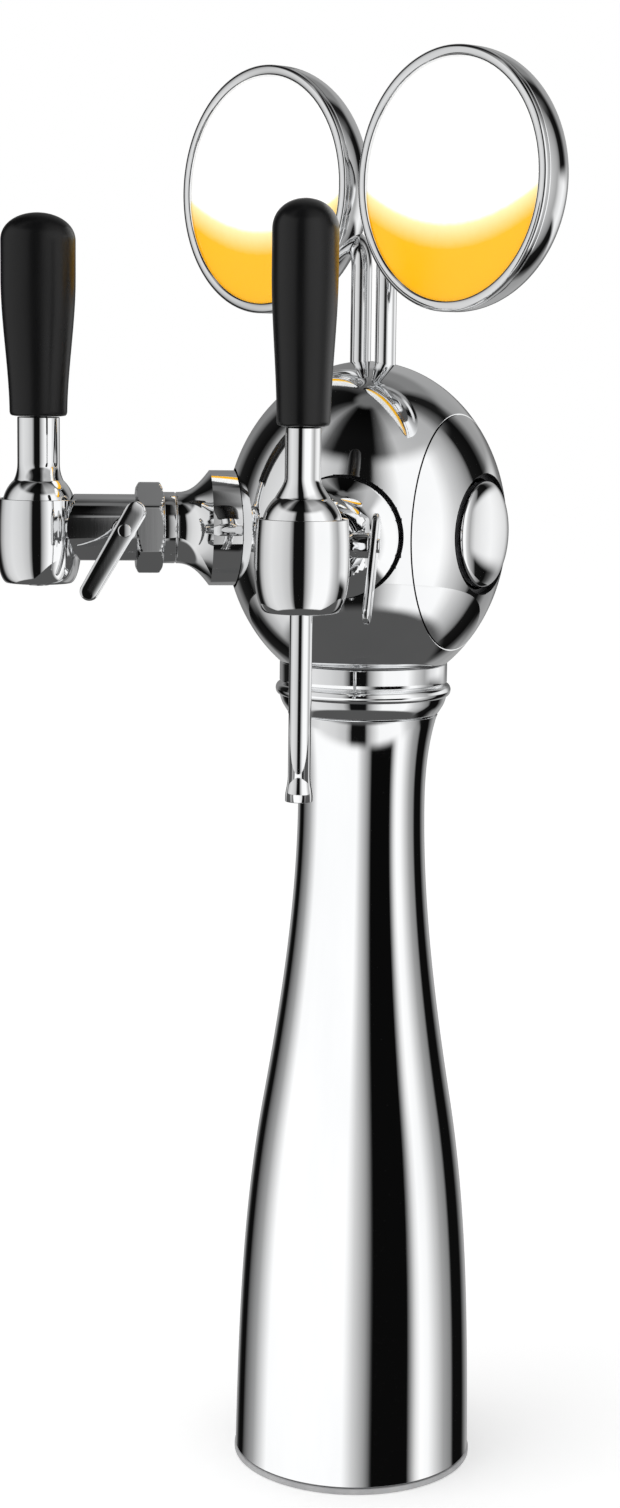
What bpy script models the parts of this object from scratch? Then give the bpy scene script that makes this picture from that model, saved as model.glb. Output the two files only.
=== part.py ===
# Drinks tower with a flared column, an egg-shaped head, two lever taps and two round medallions.
# Metres, +Z up. The origin is on the column's axis, where the foot rests; the user stands at -Y.
import math

import bmesh
import bpy
from mathutils import Matrix, Vector
from mathutils.geometry import interpolate_bezier

for old in list(bpy.data.objects):
    bpy.data.objects.remove(old, do_unlink=True)

# Fits and meshing
clearance = 0.0003  # between pieces that touch
running_gap = 0.0004  # around pieces that turn or slide
socket_gap = 0.0007  # around the lever's ball
overrun = 0.004  # how far a cutter reaches past what it cuts
weld = 0.000001
fine_sides = 24
round_sides = 16
tongue_sides = 12
small_sides = 10
tube_sides = 8
seal_sides = 5
head_rings = 13
socket_rings = 12
column_rings = 12
curve_steps = 6
bend_steps = 5
short_steps = 4
few_steps = 3
hollow_steps = 2
end_steps = 8
lip_share = 1 / 3
middle_share = 1 / 2

# Foot and column
gasket_radius = 0.0593
gasket_thickness = 0.0027
tube_port_radius = 0.014
tube_port_offset = 0.031
foot_plate_thickness = 0.010
foot_hub_radius = 0.012
foot_hub_height = 0.014
column_height = 0.374
column_wall = 0.0022
column_base_radius = 0.0588
column_flank_radius = 0.0465
column_flank_height = 0.180
column_waist_radius = 0.031
column_waist_height = 0.330
column_top_radius = 0.0365
base_slope_share = -0.018
flank_slope_share = -0.17
top_slope_share = 0.30

# Collar between column and head
collar_height = 0.0244
collar_radius = 0.0407
collar_foot_radius = 0.0368
collar_bead_radius = 0.0426
collar_bead_height = 0.0112  # of the bead's crest above the collar's foot
collar_bead_half = 0.0028
collar_groove = 0.0008
collar_bore = 0.027
spigot_length = 0.012
ring_radius = 0.034
ring_thickness = 0.0026

# Head
head_radius = 0.0685
head_half_height = 0.080
head_wall = 0.004
head_foot_share = 0.8  # of the half height, from the head's centre to its flat foot
head_floor = 0.008
head_crown = 0.010
head_foot_bore = 0.024
port_angle = math.radians(36)
cover_angle = math.radians(108)
port_floor = 0.060  # from the tower's axis
port_recess_radius = 0.0285
port_boss_radius = 0.032
port_boss_depth = 0.010
cover_seam = 0.049  # from the tower's axis
seam_gap = 0.0005

# Blank caps
cap_radius = 0.025
cap_edge = 0.0032
cap_height = 0.0078
cap_stem_radius = 0.008
cap_stem_length = 0.026

# Tie rod inside
rod_radius = 0.0045
rod_socket_depth = 0.010
bridge_length = 0.062
bridge_width = 0.016
bridge_thickness = 0.006
rod_nut_corner = 0.0095
rod_nut_height = 0.008
rod_end = 0.004

# Shank, seen from the tower's axis outwards
shank_radius = 0.008
shank_bore = 0.0045
shank_start = 0.038
shank_nut_corner = 0.0135
shank_nut_length = 0.007
flange_radius = 0.0275
flange_straight = 0.0155
flange_bend_share = 1.3
sleeve_radius = 0.017
sleeve_length = 0.0058
coupling_corner = 0.022
coupling_length = 0.0125
coupling_lip = 0.0018
shank_collar_radius = 0.0145
shank_collar_length = 0.004

# Tap body, about the tap's own axis
tap_reach = 0.157  # from the tower's axis
tap_length = 0.065  # from the flange's end to the tap's own axis
body_radius = 0.0206
body_foot_radius = 0.0150
body_foot_drop = 0.0265
body_belly_drop = 0.005
body_rim_radius = 0.0196
neck_radius = 0.0158
chamber_radius = 0.008
seat_radius = 0.005
seat_place = 0.024  # behind the tap's axis
outlet_radius = 0.0036
spout_seat_depth = 0.007

# Lever of the tap, about its pivot
pivot_rise = 0.0095  # above the shank's axis
bell_radius = 0.0173
bell_wall = 0.0022
bell_shoulder = math.radians(43)
bell_rear = math.radians(111)
bell_ceiling = math.radians(36)
bell_lip_rise = 0.004  # of the body's rim above the pivot
bell_cone_radius = 0.0112
bell_cone_rise = 0.0175
stem_rise = 0.0425
stem_half_depth = 0.010
stem_half_width = 0.0076
tongue_radius = 0.0023
tongue_drop = 0.011
stud_radius = 0.004
stud_length = 0.024

# Grip
grip_height = 0.0945
grip_foot_depth = 0.0136
grip_foot_width = 0.0113
grip_depth = 0.0176
grip_width = 0.0139
grip_widest_share = 0.68
grip_crown_share = 0.86
grip_crown_bulge_share = 2.2
grip_foot_draw_share = 0.93
grip_ring_shares = (0, 0.015, 0.18, 0.34, 0.5, 0.68, 0.86, 0.91, 0.95, 0.98, 0.995)

# Valve piston
piston_radius = 0.0026
piston_block_radius = 0.004
piston_block_half = 0.0054
piston_slot_half = 0.0042
piston_slot_floor = 0.0025
piston_head_radius = 0.0066
piston_head_length = 0.005
piston_front = 0.0075

# Compensator
spindle_place = 0.0395  # behind the tap's axis
spindle_radius = 0.0032
spindle_boss_radius = 0.0056
spindle_boss_reach = 0.0225
lever_thickness = 0.0032
lever_half_width = 0.0052
lever_tip_half_width = 0.0044
lever_long_arm = 0.033
lever_short_arm = 0.010
lever_rest = math.radians(30)
crank_offset = 0.002
crank_radius = 0.0009
crank_reach = 0.0056
button_radius_share = 1.1
button_rise_share = 1.35
cone_radius = 0.0072
cone_nose_radius = 0.003
cone_groove_radius = 0.0042
cone_collar = 0.002
cone_nose_length = 0.009

# Spout and short outlet
spout_radius = 0.0049
spout_wall = 0.001
spout_length = 0.0815  # below the body
nozzle_radius = 0.006
nozzle_length = 0.009
outlet_drop = 0.0012

# Stalks and medallions
stalk_radius = 0.005
stalk_offset = 0.0085
stalk_depth = 0.003
stalk_straight = 0.044  # above the head
stalk_bend = 0.017
stalk_ease_share = 0.6
stalk_tail = 0.012
stalk_nut_corner = 0.0082
stalk_nut_height = 0.005
stalk_root = 0.0075
medallion_offset = 0.0635
medallion_rise = 0.162  # above the head's centre
medallion_front = 0.0135
medallion_radius = 0.0594
medallion_rim = 0.004
medallion_dome = 0.034
medallion_wall = 0.002
bezel_thickness = 0.0016
bezel_skirt = 0.003
bezel_opening = 0.0543
face_radius = 0.0566
face_thickness = 0.0025
board_radius = 0.0537
board_thickness = 0.0016
ledge_width = 0.0034
ledge_depth = 0.004

# Water tubes
tube_radius = 0.0045
tube_bore = 0.003
tube_gather = 0.015  # from the axis, in the neck
tube_gather_height = 0.300
tube_foot_height = 0.040
tube_ease_share = 0.7

# Places that follow from the sizes above
head_foot_drop = head_half_height * head_foot_share
flange_end = tap_reach - tap_length
column_foot = gasket_thickness + clearance
column_top = column_foot + column_height
collar_foot = column_top + clearance
collar_top = collar_foot + collar_height
head_foot = collar_top + clearance
head_height = head_foot + head_foot_drop
head_top = head_height + head_half_height

finishes = {
    "chrome": ((0.86, 0.87, 0.88, 1), 0.07, 1.0),
    "steel": ((0.60, 0.60, 0.61, 1), 0.30, 1.0),
    "brass": ((0.72, 0.55, 0.26, 1), 0.28, 1.0),
    "iron": ((0.12, 0.12, 0.13, 1), 0.55, 0.8),
    "black": ((0.012, 0.012, 0.013, 1), 0.28, 0.0),
    "white": ((0.92, 0.92, 0.90, 1), 0.25, 0.0),
    "grey rubber": ((0.45, 0.45, 0.45, 1), 0.70, 0.0),
    "black rubber": ((0.02, 0.02, 0.02, 1), 0.75, 0.0),
    "green board": ((0.05, 0.20, 0.10, 1), 0.50, 0.0),
    "clear tube": ((0.75, 0.80, 0.84, 1), 0.30, 0.0),
}


def finish(obj, kind):
    """Gives a piece its own material of the named kind."""
    colour, roughness, metallic = finishes[kind]
    material = bpy.data.materials.new(obj.name + "_finish")
    material.use_nodes = True
    shader = material.node_tree.nodes["Principled BSDF"]
    shader.inputs["Base Color"].default_value = colour
    shader.inputs["Roughness"].default_value = roughness
    shader.inputs["Metallic"].default_value = metallic
    obj.data.materials.append(material)


def place(name, bm, kind=None, parent=None, location=(0, 0, 0)):
    """Turns a bmesh into an object; without a kind of finish it is a cutter or a helper."""
    bmesh.ops.remove_doubles(bm, verts=bm.verts, dist=weld)
    bmesh.ops.recalc_face_normals(bm, faces=bm.faces)
    mesh = bpy.data.meshes.new(name)
    bm.to_mesh(mesh)
    bm.free()
    mesh.shade_smooth()
    mesh.set_sharp_from_angle(angle=math.radians(32))
    obj = bpy.data.objects.new(name, mesh)
    bpy.context.collection.objects.link(obj)
    obj.parent = parent
    obj.location = location
    if kind:
        finish(obj, kind)
    else:
        obj.hide_render = True
        obj.display_type = "WIRE"
    return obj


def frame(name, location=(0, 0, 0), turn=0, parent=None):
    """An empty that carries pieces, turned about Z."""
    empty = bpy.data.objects.new(name, None)
    bpy.context.collection.objects.link(empty)
    empty.location = location
    empty.rotation_euler = (0, 0, turn)
    empty.parent = parent
    return empty


def boolean(obj, tool, operation="DIFFERENCE"):
    modifier = obj.modifiers.new(operation.lower() + " " + tool.name, "BOOLEAN")
    modifier.operation = operation
    modifier.solver = "EXACT"
    modifier.object = tool
    return obj


def turned(outline, sides=round_sides, along="Z"):
    """Spins an outline of (radius, place) points; it may start and end on the axis."""
    bm = bmesh.new()
    verts = [bm.verts.new((radius, 0, height)) for radius, height in outline]
    edges = [bm.edges.new(pair) for pair in zip(verts, verts[1:])]
    if outline[0][0] > 0 or outline[-1][0] > 0:
        edges.append(bm.edges.new((verts[-1], verts[0])))
    bmesh.ops.spin(
        bm, geom=verts + edges, cent=(0, 0, 0), axis=(0, 0, 1),
        angle=math.tau, steps=sides, use_merge=True, use_duplicate=False,
    )
    turns = {"X": Matrix.Rotation(math.pi / 2, 3, "Y"), "Y": Matrix.Rotation(-math.pi / 2, 3, "X")}
    if along in turns:
        bmesh.ops.rotate(bm, verts=bm.verts, cent=(0, 0, 0), matrix=turns[along])
    return bm


def rod(radius, start, end, sides=small_sides, along="Z"):
    """A plain cylinder from start to end along an axis."""
    return turned([(0, start), (radius, start), (radius, end), (0, end)], sides, along)


def pipe(radius, bore, start, end, sides=small_sides, along="Z"):
    return turned([(bore, start), (radius, start), (radius, end), (bore, end)], sides, along)


def hexagon(corner, start, end, along="Z", chamfer_share=0.10):
    """A six-sided bar with chamfered ends, for nuts."""
    chamfer = corner * chamfer_share
    outline = [(0, start), (corner - chamfer, start), (corner, start + chamfer)]
    outline += [(corner, end - chamfer), (corner - chamfer, end), (0, end)]
    return turned(outline, 6, along)


def block(low, high):
    bm = bmesh.new()
    bmesh.ops.create_cube(bm, size=1)
    low, high = Vector(low), Vector(high)
    size = high - low
    bmesh.ops.scale(bm, verts=bm.verts, vec=size)
    bmesh.ops.translate(bm, verts=bm.verts, vec=(low + high) * middle_share)
    return bm


def arc(half_width, half_height, first, last, steps):
    """Points of an ellipse, by the angle from its top."""
    angles = [first + (last - first) * step / steps for step in range(steps + 1)]
    return [(half_width * math.sin(angle), half_height * math.cos(angle)) for angle in angles]


def eased(low, high, share):
    """Goes from low to high with level ends."""
    return low + (high - low) * share * share * (3 - 2 * share)


def hermite(start, end, start_slope, end_slope, share):
    """A cubic between two (height, radius) points with the given slopes."""
    length = end[0] - start[0]
    square, cube = share ** 2, share ** 3
    value = (2 * cube - 3 * square + 1) * start[1] + (3 * square - 2 * cube) * end[1]
    value += (cube - 2 * square + share) * start_slope * length
    return value + (cube - square) * end_slope * length


def swept(path, radius, bore=0, sides=small_sides):
    """A round bar, or a pipe, along a list of points."""
    bm = bmesh.new()
    along = [(b - a).normalized() for a, b in zip(path, path[1:])]
    along = [along[0]] + [(a + b).normalized() for a, b in zip(along, along[1:])] + [along[-1]]
    side = along[0].orthogonal().normalized()
    rings = []
    for point, direction in zip(path, along):
        side = (side - direction * side.dot(direction)).normalized()
        other = direction.cross(side)
        angles = [math.tau * step / sides for step in range(sides)]
        spokes = [side * math.cos(angle) + other * math.sin(angle) for angle in angles]
        sizes = [size for size in (radius, bore) if size]
        rings.append([[bm.verts.new(point + spoke * size) for spoke in spokes] for size in sizes])
    for near, far in zip(rings, rings[1:]):
        for near_ring, far_ring in zip(near, far):
            for step in range(sides):
                following = (step + 1) % sides
                corners = (near_ring[step], near_ring[following], far_ring[following], far_ring[step])
                bm.faces.new(corners)
    for ends in (rings[0], rings[-1]):
        if bore:
            for step in range(sides):
                following = (step + 1) % sides
                bm.faces.new((ends[0][step], ends[0][following], ends[1][following], ends[1][step]))
        else:
            bm.faces.new(ends[0])
    return bm


def bezier(start, start_handle, end_handle, end, steps):
    return list(interpolate_bezier(start, start_handle, end_handle, end, steps + 1))


def column_radius(height):
    """The column's outer radius at a height above its foot."""
    top = (column_height, column_top_radius)
    waist = (column_waist_height, column_waist_radius)
    flank = (column_flank_height, column_flank_radius)
    foot = (0, column_base_radius)
    if height > waist[0]:
        return hermite(waist, top, 0, top_slope_share, (height - waist[0]) / (top[0] - waist[0]))
    if height > flank[0]:
        return hermite(flank, waist, flank_slope_share, 0, (height - flank[0]) / (waist[0] - flank[0]))
    return hermite(foot, flank, base_slope_share, flank_slope_share, height / flank[0])


def make_foot():
    gasket = place("base_gasket", rod(gasket_radius, 0, gasket_thickness, fine_sides), "grey rubber")
    plate_radius = column_radius(foot_plate_thickness * 2) - column_wall - clearance
    plate_foot = column_foot
    plate_top = plate_foot + foot_plate_thickness
    hub_top = plate_top + foot_hub_height
    outline = [(0, plate_foot), (plate_radius, plate_foot), (plate_radius, plate_top)]
    outline += [(foot_hub_radius, plate_top), (foot_hub_radius, hub_top), (0, hub_top)]
    plate = place("base_plate", turned(outline, fine_sides), "iron")
    socket = rod(rod_radius + clearance, hub_top - rod_socket_depth - clearance, hub_top + overrun)
    boolean(plate, place("rod_socket_cut", socket))
    for side in (1, -1):
        passage = rod(tube_port_radius, -overrun, plate_top + overrun, round_sides)
        cut = place("tube_passage_cut", passage, location=(side * tube_port_offset, 0, 0))
        boolean(gasket, cut)
        boolean(plate, cut)
    return hub_top


def make_column():
    heights = [column_height * ring / column_rings for ring in range(column_rings + 1)]
    outer = [(column_radius(height), column_foot + height) for height in heights]
    inner = [(radius - column_wall, height) for radius, height in outer[::-few_steps]]
    place("column_shell", turned(outer + inner, fine_sides), "chrome")


def make_collar():
    bead = collar_foot + collar_bead_height
    low, high = bead - collar_bead_half, bead + collar_bead_half
    spigot_foot = collar_foot - spigot_length
    spigot_radius = column_radius(spigot_foot - column_foot) - column_wall - clearance
    half = ring_thickness / 2
    groove_floor = collar_top - ring_thickness - clearance
    groove_out, groove_in = ring_radius + half + clearance, ring_radius - half - clearance
    outline = [(groove_out, collar_top), (groove_out, groove_floor), (groove_in, groove_floor)]
    outline += [(groove_in, collar_top), (collar_bore, collar_top)]
    outline += [(collar_bore, spigot_foot), (spigot_radius, spigot_foot)]
    outline += [(spigot_radius, collar_foot), (collar_foot_radius, collar_foot), (collar_radius, low)]
    outline += [(collar_bead_radius, bead), (collar_radius, high), (collar_radius - collar_groove, high)]
    outline += [(collar_radius, high + collar_groove), (collar_radius, collar_top)]
    place("neck_collar", turned(outline, fine_sides), "chrome")
    section = arc(half, half, 0, math.tau * (seal_sides - 1) / seal_sides, seal_sides - 1)
    section = [(ring_radius + across, collar_top - half + up) for across, up in section]
    place("neck_seal_ring", turned(section, fine_sides), "black rubber")


def make_head(centre, tap_frames, cover_frames):
    """The cast head, its two bolted-on covers, and what closes their ports."""
    def cavity(name, frames):
        ceiling = head_half_height - head_crown
        floor = head_floor - head_foot_drop
        width, height = head_radius - head_wall, head_half_height - head_wall
        outline = [(0, ceiling)]
        outline += arc(width, height, math.acos(ceiling / height), math.acos(floor / height), curve_steps)
        hollow = place(name, turned(outline + [(0, floor)], round_sides), parent=centre)
        boss_start = port_floor - port_boss_depth
        for carrier in frames:
            boss = rod(port_boss_radius, boss_start, head_radius + overrun, round_sides, "X")
            boolean(hollow, place(name + "_boss", boss, parent=carrier))
        return hollow

    def open_port(obj, carrier, hole_radius):
        recess = rod(port_recess_radius, port_floor, head_radius + overrun, fine_sides, "X")
        boolean(obj, place("port_recess_cut", recess, parent=carrier))
        hole = rod(hole_radius, shank_start, port_floor + overrun, round_sides, "X")
        boolean(obj, place("port_hole_cut", hole, parent=carrier))

    egg = arc(head_radius, head_half_height, 0, math.pi, head_rings)
    head = place("head_casting", turned(egg, fine_sides), "chrome", centre)
    below = -head_half_height - overrun
    below = block((-head_radius, -head_radius, below), (head_radius, head_radius, -head_foot_drop))
    boolean(head, place("head_foot_cut", below, parent=centre))
    boolean(head, cavity("head_cavity", tap_frames))
    floor = head_floor - head_foot_drop
    bore = rod(head_foot_bore, -head_foot_drop - overrun, floor + overrun, round_sides)
    boolean(head, place("head_foot_bore_cut", bore, parent=centre))
    ceiling = head_half_height - head_crown
    for side in (1, -1):
        hole = rod(stalk_radius + clearance, ceiling - overrun, head_half_height + overrun)
        cut = place("stalk_hole_cut", hole, parent=centre, location=(side * stalk_offset, stalk_depth, 0))
        boolean(head, cut)
    for carrier in tap_frames:
        open_port(head, carrier, shank_radius + clearance)
    reach = head_half_height + overrun
    for name, carrier in zip(("right", "left"), cover_frames):
        beyond = block((cover_seam - seam_gap, -reach, -reach), (reach, reach, reach))
        boolean(head, place("cover_seat_cut", beyond, parent=carrier))
        cover = place("head_cover_" + name, turned(egg, fine_sides), "chrome", centre)
        keep = block((cover_seam, -reach, -reach), (reach, reach, reach))
        boolean(cover, place("cover_keep", keep, parent=carrier), "INTERSECT")
        boolean(cover, cavity("cover_cavity", [carrier]))
        open_port(cover, carrier, cap_stem_radius + clearance)
        make_cap(name, carrier)


def make_cap(name, carrier):
    seat = port_floor + clearance
    crown_edge = seat + cap_edge
    crown = cap_height - cap_edge
    dome = arc(cap_radius, crown, math.pi / 2, 0, short_steps)
    outline = [(0, seat), (cap_radius, seat)] + [(radius, crown_edge + height) for radius, height in dome]
    cap = place("side_cap_" + name, turned(outline, fine_sides, "X"), "chrome", carrier)
    stem = rod(cap_stem_radius, seat - cap_stem_length, seat + cap_edge, round_sides, "X")
    boolean(cap, place("cap_stem_" + name, stem, parent=carrier), "UNION")
    nut_end = port_floor - port_boss_depth - clearance
    nut_start = nut_end - shank_nut_length
    nut = hexagon(shank_nut_corner, nut_start, nut_end, "X")
    nut = place("side_cap_nut_" + name, nut, "brass", carrier)
    bore = rod(cap_stem_radius + clearance, nut_start - overrun, nut_end + overrun, round_sides, "X")
    boolean(nut, place("cap_nut_bore", bore, parent=carrier))


def make_tie_rod(hub_top):
    floor = head_foot + head_floor
    bridge_foot = floor + clearance
    bridge_top = bridge_foot + bridge_thickness
    nut_foot = bridge_top + clearance
    nut_top = nut_foot + rod_nut_height
    rod_foot = hub_top - rod_socket_depth
    place("tie_rod", rod(rod_radius, rod_foot, nut_top + rod_end, small_sides), "steel")
    half_width, half_length = bridge_width / 2, bridge_length / 2
    bridge = block((-half_width, -half_length, bridge_foot), (half_width, half_length, bridge_top))
    bridge = place("clamp_bridge", bridge, "steel")
    nut = place("tie_rod_nut", hexagon(rod_nut_corner, nut_foot, nut_top), "steel")
    bore = place("rod_bore_cut", rod(rod_radius + clearance, bridge_foot - overrun, nut_top + overrun))
    boolean(bridge, bore)
    boolean(nut, bore)


def make_shank(name, carrier):
    flange_start = port_floor + clearance
    sleeve_start = flange_end + clearance
    sleeve_end = sleeve_start + sleeve_length
    nut_start = sleeve_end + clearance
    nut_end = nut_start + coupling_length
    collar_start = nut_start + coupling_lip + clearance
    collar_end = collar_start + shank_collar_length
    outline = [(shank_bore, shank_start), (shank_radius, shank_start), (shank_radius, collar_start)]
    outline += [(shank_collar_radius, collar_start), (shank_collar_radius, collar_end)]
    outline += [(shank_bore, collar_end)]
    place("shank_" + name, turned(outline, round_sides, "X"), "steel", carrier)
    bore = shank_radius + clearance
    back_end = port_floor - port_boss_depth - clearance
    back_start = back_end - shank_nut_length
    nut = place("shank_nut_" + name, hexagon(shank_nut_corner, back_start, back_end, "X"), "brass", carrier)
    hole = rod(bore, back_start - overrun, back_end + overrun, round_sides, "X")
    boolean(nut, place("shank_nut_bore", hole, parent=carrier))
    flare_start = flange_start + flange_straight
    flare = []
    for step in range(bend_steps + 1):
        share = step / bend_steps
        narrowing = (1 - math.sin(share * math.pi / 2)) ** flange_bend_share
        radius = sleeve_radius + (flange_radius - sleeve_radius) * narrowing
        flare.append((radius, flare_start + (flange_end - flare_start) * share))
    outline = [(bore, flange_start), (flange_radius, flange_start)] + flare + [(bore, flange_end)]
    place("shank_flange_" + name, turned(outline, round_sides * 2, "X"), "chrome", carrier)
    sleeve = pipe(sleeve_radius, bore, sleeve_start, sleeve_end, round_sides, "X")
    place("shank_sleeve_" + name, sleeve, "chrome", carrier)
    nut = hexagon(coupling_corner, nut_start, nut_end, "X")
    nut = place("coupling_nut_" + name, nut, "chrome", carrier)
    mouth, lip_end = neck_radius + clearance, nut_start + coupling_lip
    outline = [(0, nut_start - overrun), (bore, nut_start - overrun), (bore, lip_end)]
    outline += [(mouth, lip_end), (mouth, nut_end + overrun), (0, nut_end + overrun)]
    boolean(nut, place("coupling_nut_bore", turned(outline, round_sides, "X"), parent=carrier))
    return collar_end - tap_reach


def make_body(name, tap, neck_start):
    """The tap's body: a barrel with a neck, a ball socket, a valve chamber and an outlet."""
    foot = -body_foot_drop
    rim = pivot_rise + bell_lip_rise
    outline = [(0, foot), (body_foot_radius, foot)]
    swell, belly_rise = body_radius - body_foot_radius, body_foot_drop - body_belly_drop
    belly = arc(swell, belly_rise, math.pi, math.pi / 2, short_steps)
    outline += [(body_foot_radius + radius, height - body_belly_drop) for radius, height in belly[1:]]
    outline += [((body_radius + body_rim_radius) / 2 + clearance, (rim - body_belly_drop) / 2)]
    outline += [(body_rim_radius, rim), (0, rim)]
    body = place("tap_body_" + name, turned(outline, fine_sides), "chrome", tap)
    neck_start += clearance
    neck = rod(neck_radius, neck_start, 0, round_sides, "X")
    boolean(body, place("neck_join", neck, parent=tap), "UNION")
    boss = rod(spindle_boss_radius, 0, spindle_boss_reach, small_sides, "Y")
    boolean(body, place("spindle_boss_join", boss, parent=tap, location=(-spindle_place, 0, 0)), "UNION")
    socket = bell_radius + socket_gap
    ball = turned(arc(socket, socket, 0, math.pi, socket_rings), fine_sides)
    boolean(body, place("socket_cut", ball, parent=tap, location=(0, 0, pivot_rise)))
    shelf = foot + spout_seat_depth + clearance
    seat = spout_radius + clearance
    outline = [(0, foot - overrun), (seat, foot - overrun), (seat, shelf)]
    outline += [(outlet_radius, shelf), (outlet_radius, 0), (0, 0)]
    boolean(body, place("outlet_cut", turned(outline, small_sides), parent=tap))
    outline = [(0, neck_start - overrun), (chamber_radius, neck_start - overrun)]
    outline += [(chamber_radius, -seat_place)]
    outline += [(seat_radius, -seat_place), (seat_radius, -body_radius / 2), (0, -body_radius / 2)]
    boolean(body, place("chamber_cut", turned(outline, small_sides, "X"), parent=tap))
    bore = spindle_radius + clearance
    hole = rod(bore, chamber_radius / 2, spindle_boss_reach + overrun, small_sides, "Y")
    boolean(body, place("spindle_cut", hole, parent=tap, location=(-spindle_place, 0, 0)))


def make_tap_lever(name, tap):
    pivot = frame("tap_lever_axis_" + name, (0, 0, pivot_rise), parent=tap)
    inner = bell_radius - bell_wall
    outline = [(0, bell_cone_rise), (bell_cone_radius, bell_cone_rise)]
    outline += arc(bell_radius, bell_radius, bell_shoulder, bell_rear, curve_steps)
    outline += arc(inner, inner, bell_rear, bell_ceiling, few_steps)
    outline += [(0, inner * math.cos(bell_ceiling))]
    lever = place("tap_lever_" + name, turned(outline, fine_sides), "chrome", pivot)
    stem = bmesh.new()
    bmesh.ops.create_cone(
        stem, cap_ends=True, segments=small_sides, radius1=1, radius2=1, depth=1,
        matrix=Matrix.Translation((0, 0, middle_share)),
    )
    root = bell_cone_rise - bell_wall
    bmesh.ops.scale(stem, verts=stem.verts, vec=(stem_half_depth, stem_half_width, stem_rise - root))
    boolean(lever, place("stem_join", stem, parent=pivot, location=(0, 0, root)), "UNION")
    stud = rod(stud_radius, stem_rise - bell_wall, stem_rise + stud_length)
    boolean(lever, place("stud_join", stud, parent=pivot), "UNION")
    tongue = rod(tongue_radius, -tongue_drop, bell_cone_rise - bell_wall, tongue_sides)
    boolean(lever, place("tongue_join", tongue, parent=pivot), "UNION")
    return pivot


def make_grip(name, pivot):
    """The grip: oval rings that swell upwards and close in a round crown."""
    bm = bmesh.new()
    rings = []
    for share in grip_ring_shares:
        swell = eased(0, 1, min(share / grip_widest_share, 1))
        depth = grip_foot_depth + (grip_depth - grip_foot_depth) * swell
        width = grip_foot_width + (grip_width - grip_foot_width) * swell
        if share == 0:
            edge = grip_foot_draw_share
        elif share > grip_crown_share:
            risen = (share - grip_crown_share) / (1 - grip_crown_share)
            edge = math.sqrt(1 - risen ** grip_crown_bulge_share)
        else:
            edge = 1
        angles = [math.tau * step / round_sides for step in range(round_sides)]
        spots = [(depth * edge * math.cos(angle), width * edge * math.sin(angle)) for angle in angles]
        rings.append([bm.verts.new((x, y, grip_height * share)) for x, y in spots])
    for near, far in zip(rings, rings[1:]):
        for step in range(round_sides):
            following = (step + 1) % round_sides
            bm.faces.new((near[step], near[following], far[following], far[step]))
    bm.faces.new(rings[0])
    bm.faces.new(rings[-1])
    grip = place("tap_handle_" + name, bm, "black", pivot, (0, 0, stem_rise + clearance))
    socket = rod(stud_radius + clearance, -overrun, stud_length + clearance)
    boolean(grip, place("grip_socket_cut", socket, parent=grip))


def make_piston(name, tap):
    seat = -seat_place - clearance
    outline = [(0, seat - piston_head_length), (piston_head_radius, seat - piston_head_length)]
    outline += [(piston_head_radius, seat), (piston_radius, seat), (piston_radius, -piston_block_half)]
    outline += [(piston_block_radius, -piston_block_half), (piston_block_radius, piston_block_half)]
    outline += [(piston_radius, piston_block_half), (piston_radius, piston_front), (0, piston_front)]
    piston = place("valve_piston_" + name, turned(outline, small_sides, "X"), "brass", tap)
    half = tongue_radius + running_gap
    slot_top = piston_block_radius + overrun
    slot = block((-piston_slot_half, -half, -piston_slot_floor), (piston_slot_half, half, slot_top))
    boolean(piston, place("piston_slot_cut", slot, parent=piston))


def make_compensator(name, tap):
    axis = frame("compensator_axis_" + name, (-spindle_place, 0, 0), parent=tap)
    plate = bmesh.new()
    near = spindle_boss_reach + clearance
    outline = []
    ends = ((lever_short_arm, 0, lever_half_width), (-lever_long_arm, math.pi, lever_tip_half_width))
    for height, first, half_width in ends:
        for step in range(end_steps + 1):
            angle = first + math.pi * step / end_steps
            spot = (half_width * math.cos(angle), near, height + half_width * math.sin(angle))
            outline.append(plate.verts.new(spot))
    face = plate.faces.new(outline)
    grown = bmesh.ops.extrude_face_region(plate, geom=[face])
    moved = [item for item in grown["geom"] if isinstance(item, bmesh.types.BMVert)]
    bmesh.ops.translate(plate, verts=moved, vec=(0, lever_thickness, 0))
    turn = Matrix.Rotation(-lever_rest, 3, "Y")
    bmesh.ops.rotate(plate, verts=plate.verts, cent=(0, 0, 0), matrix=turn)
    lever = place("compensator_lever_" + name, plate, "chrome", axis)
    inner_end = chamber_radius + clearance
    spindle = rod(spindle_radius, inner_end, near + lever_thickness / 2, small_sides, "Y")
    boolean(lever, place("spindle_join", spindle, parent=axis), "UNION")
    crank = rod(crank_radius, crank_reach, near - lever_thickness, small_sides, "Y")
    boolean(lever, place("crank_join", crank, parent=axis, location=(0, 0, -crank_offset)), "UNION")
    button_start, button_end = near + lever_thickness / 2, near + lever_thickness * button_rise_share
    button = rod(spindle_radius * button_radius_share, button_start, button_end, small_sides, "Y")
    boolean(lever, place("spindle_head_join", button, parent=axis), "UNION")
    groove_half = crank_radius + running_gap
    nose = -groove_half - cone_collar - cone_nose_length
    outline = [(0, nose), (cone_nose_radius, nose)]
    outline += [(cone_radius, -groove_half - cone_collar), (cone_radius, -groove_half)]
    outline += [(cone_groove_radius, -groove_half), (cone_groove_radius, groove_half)]
    outline += [(cone_radius, groove_half), (cone_radius, groove_half + cone_collar)]
    outline += [(0, groove_half + cone_collar)]
    place("compensator_cone_" + name, turned(outline, small_sides, "X"), "white", axis)


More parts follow.
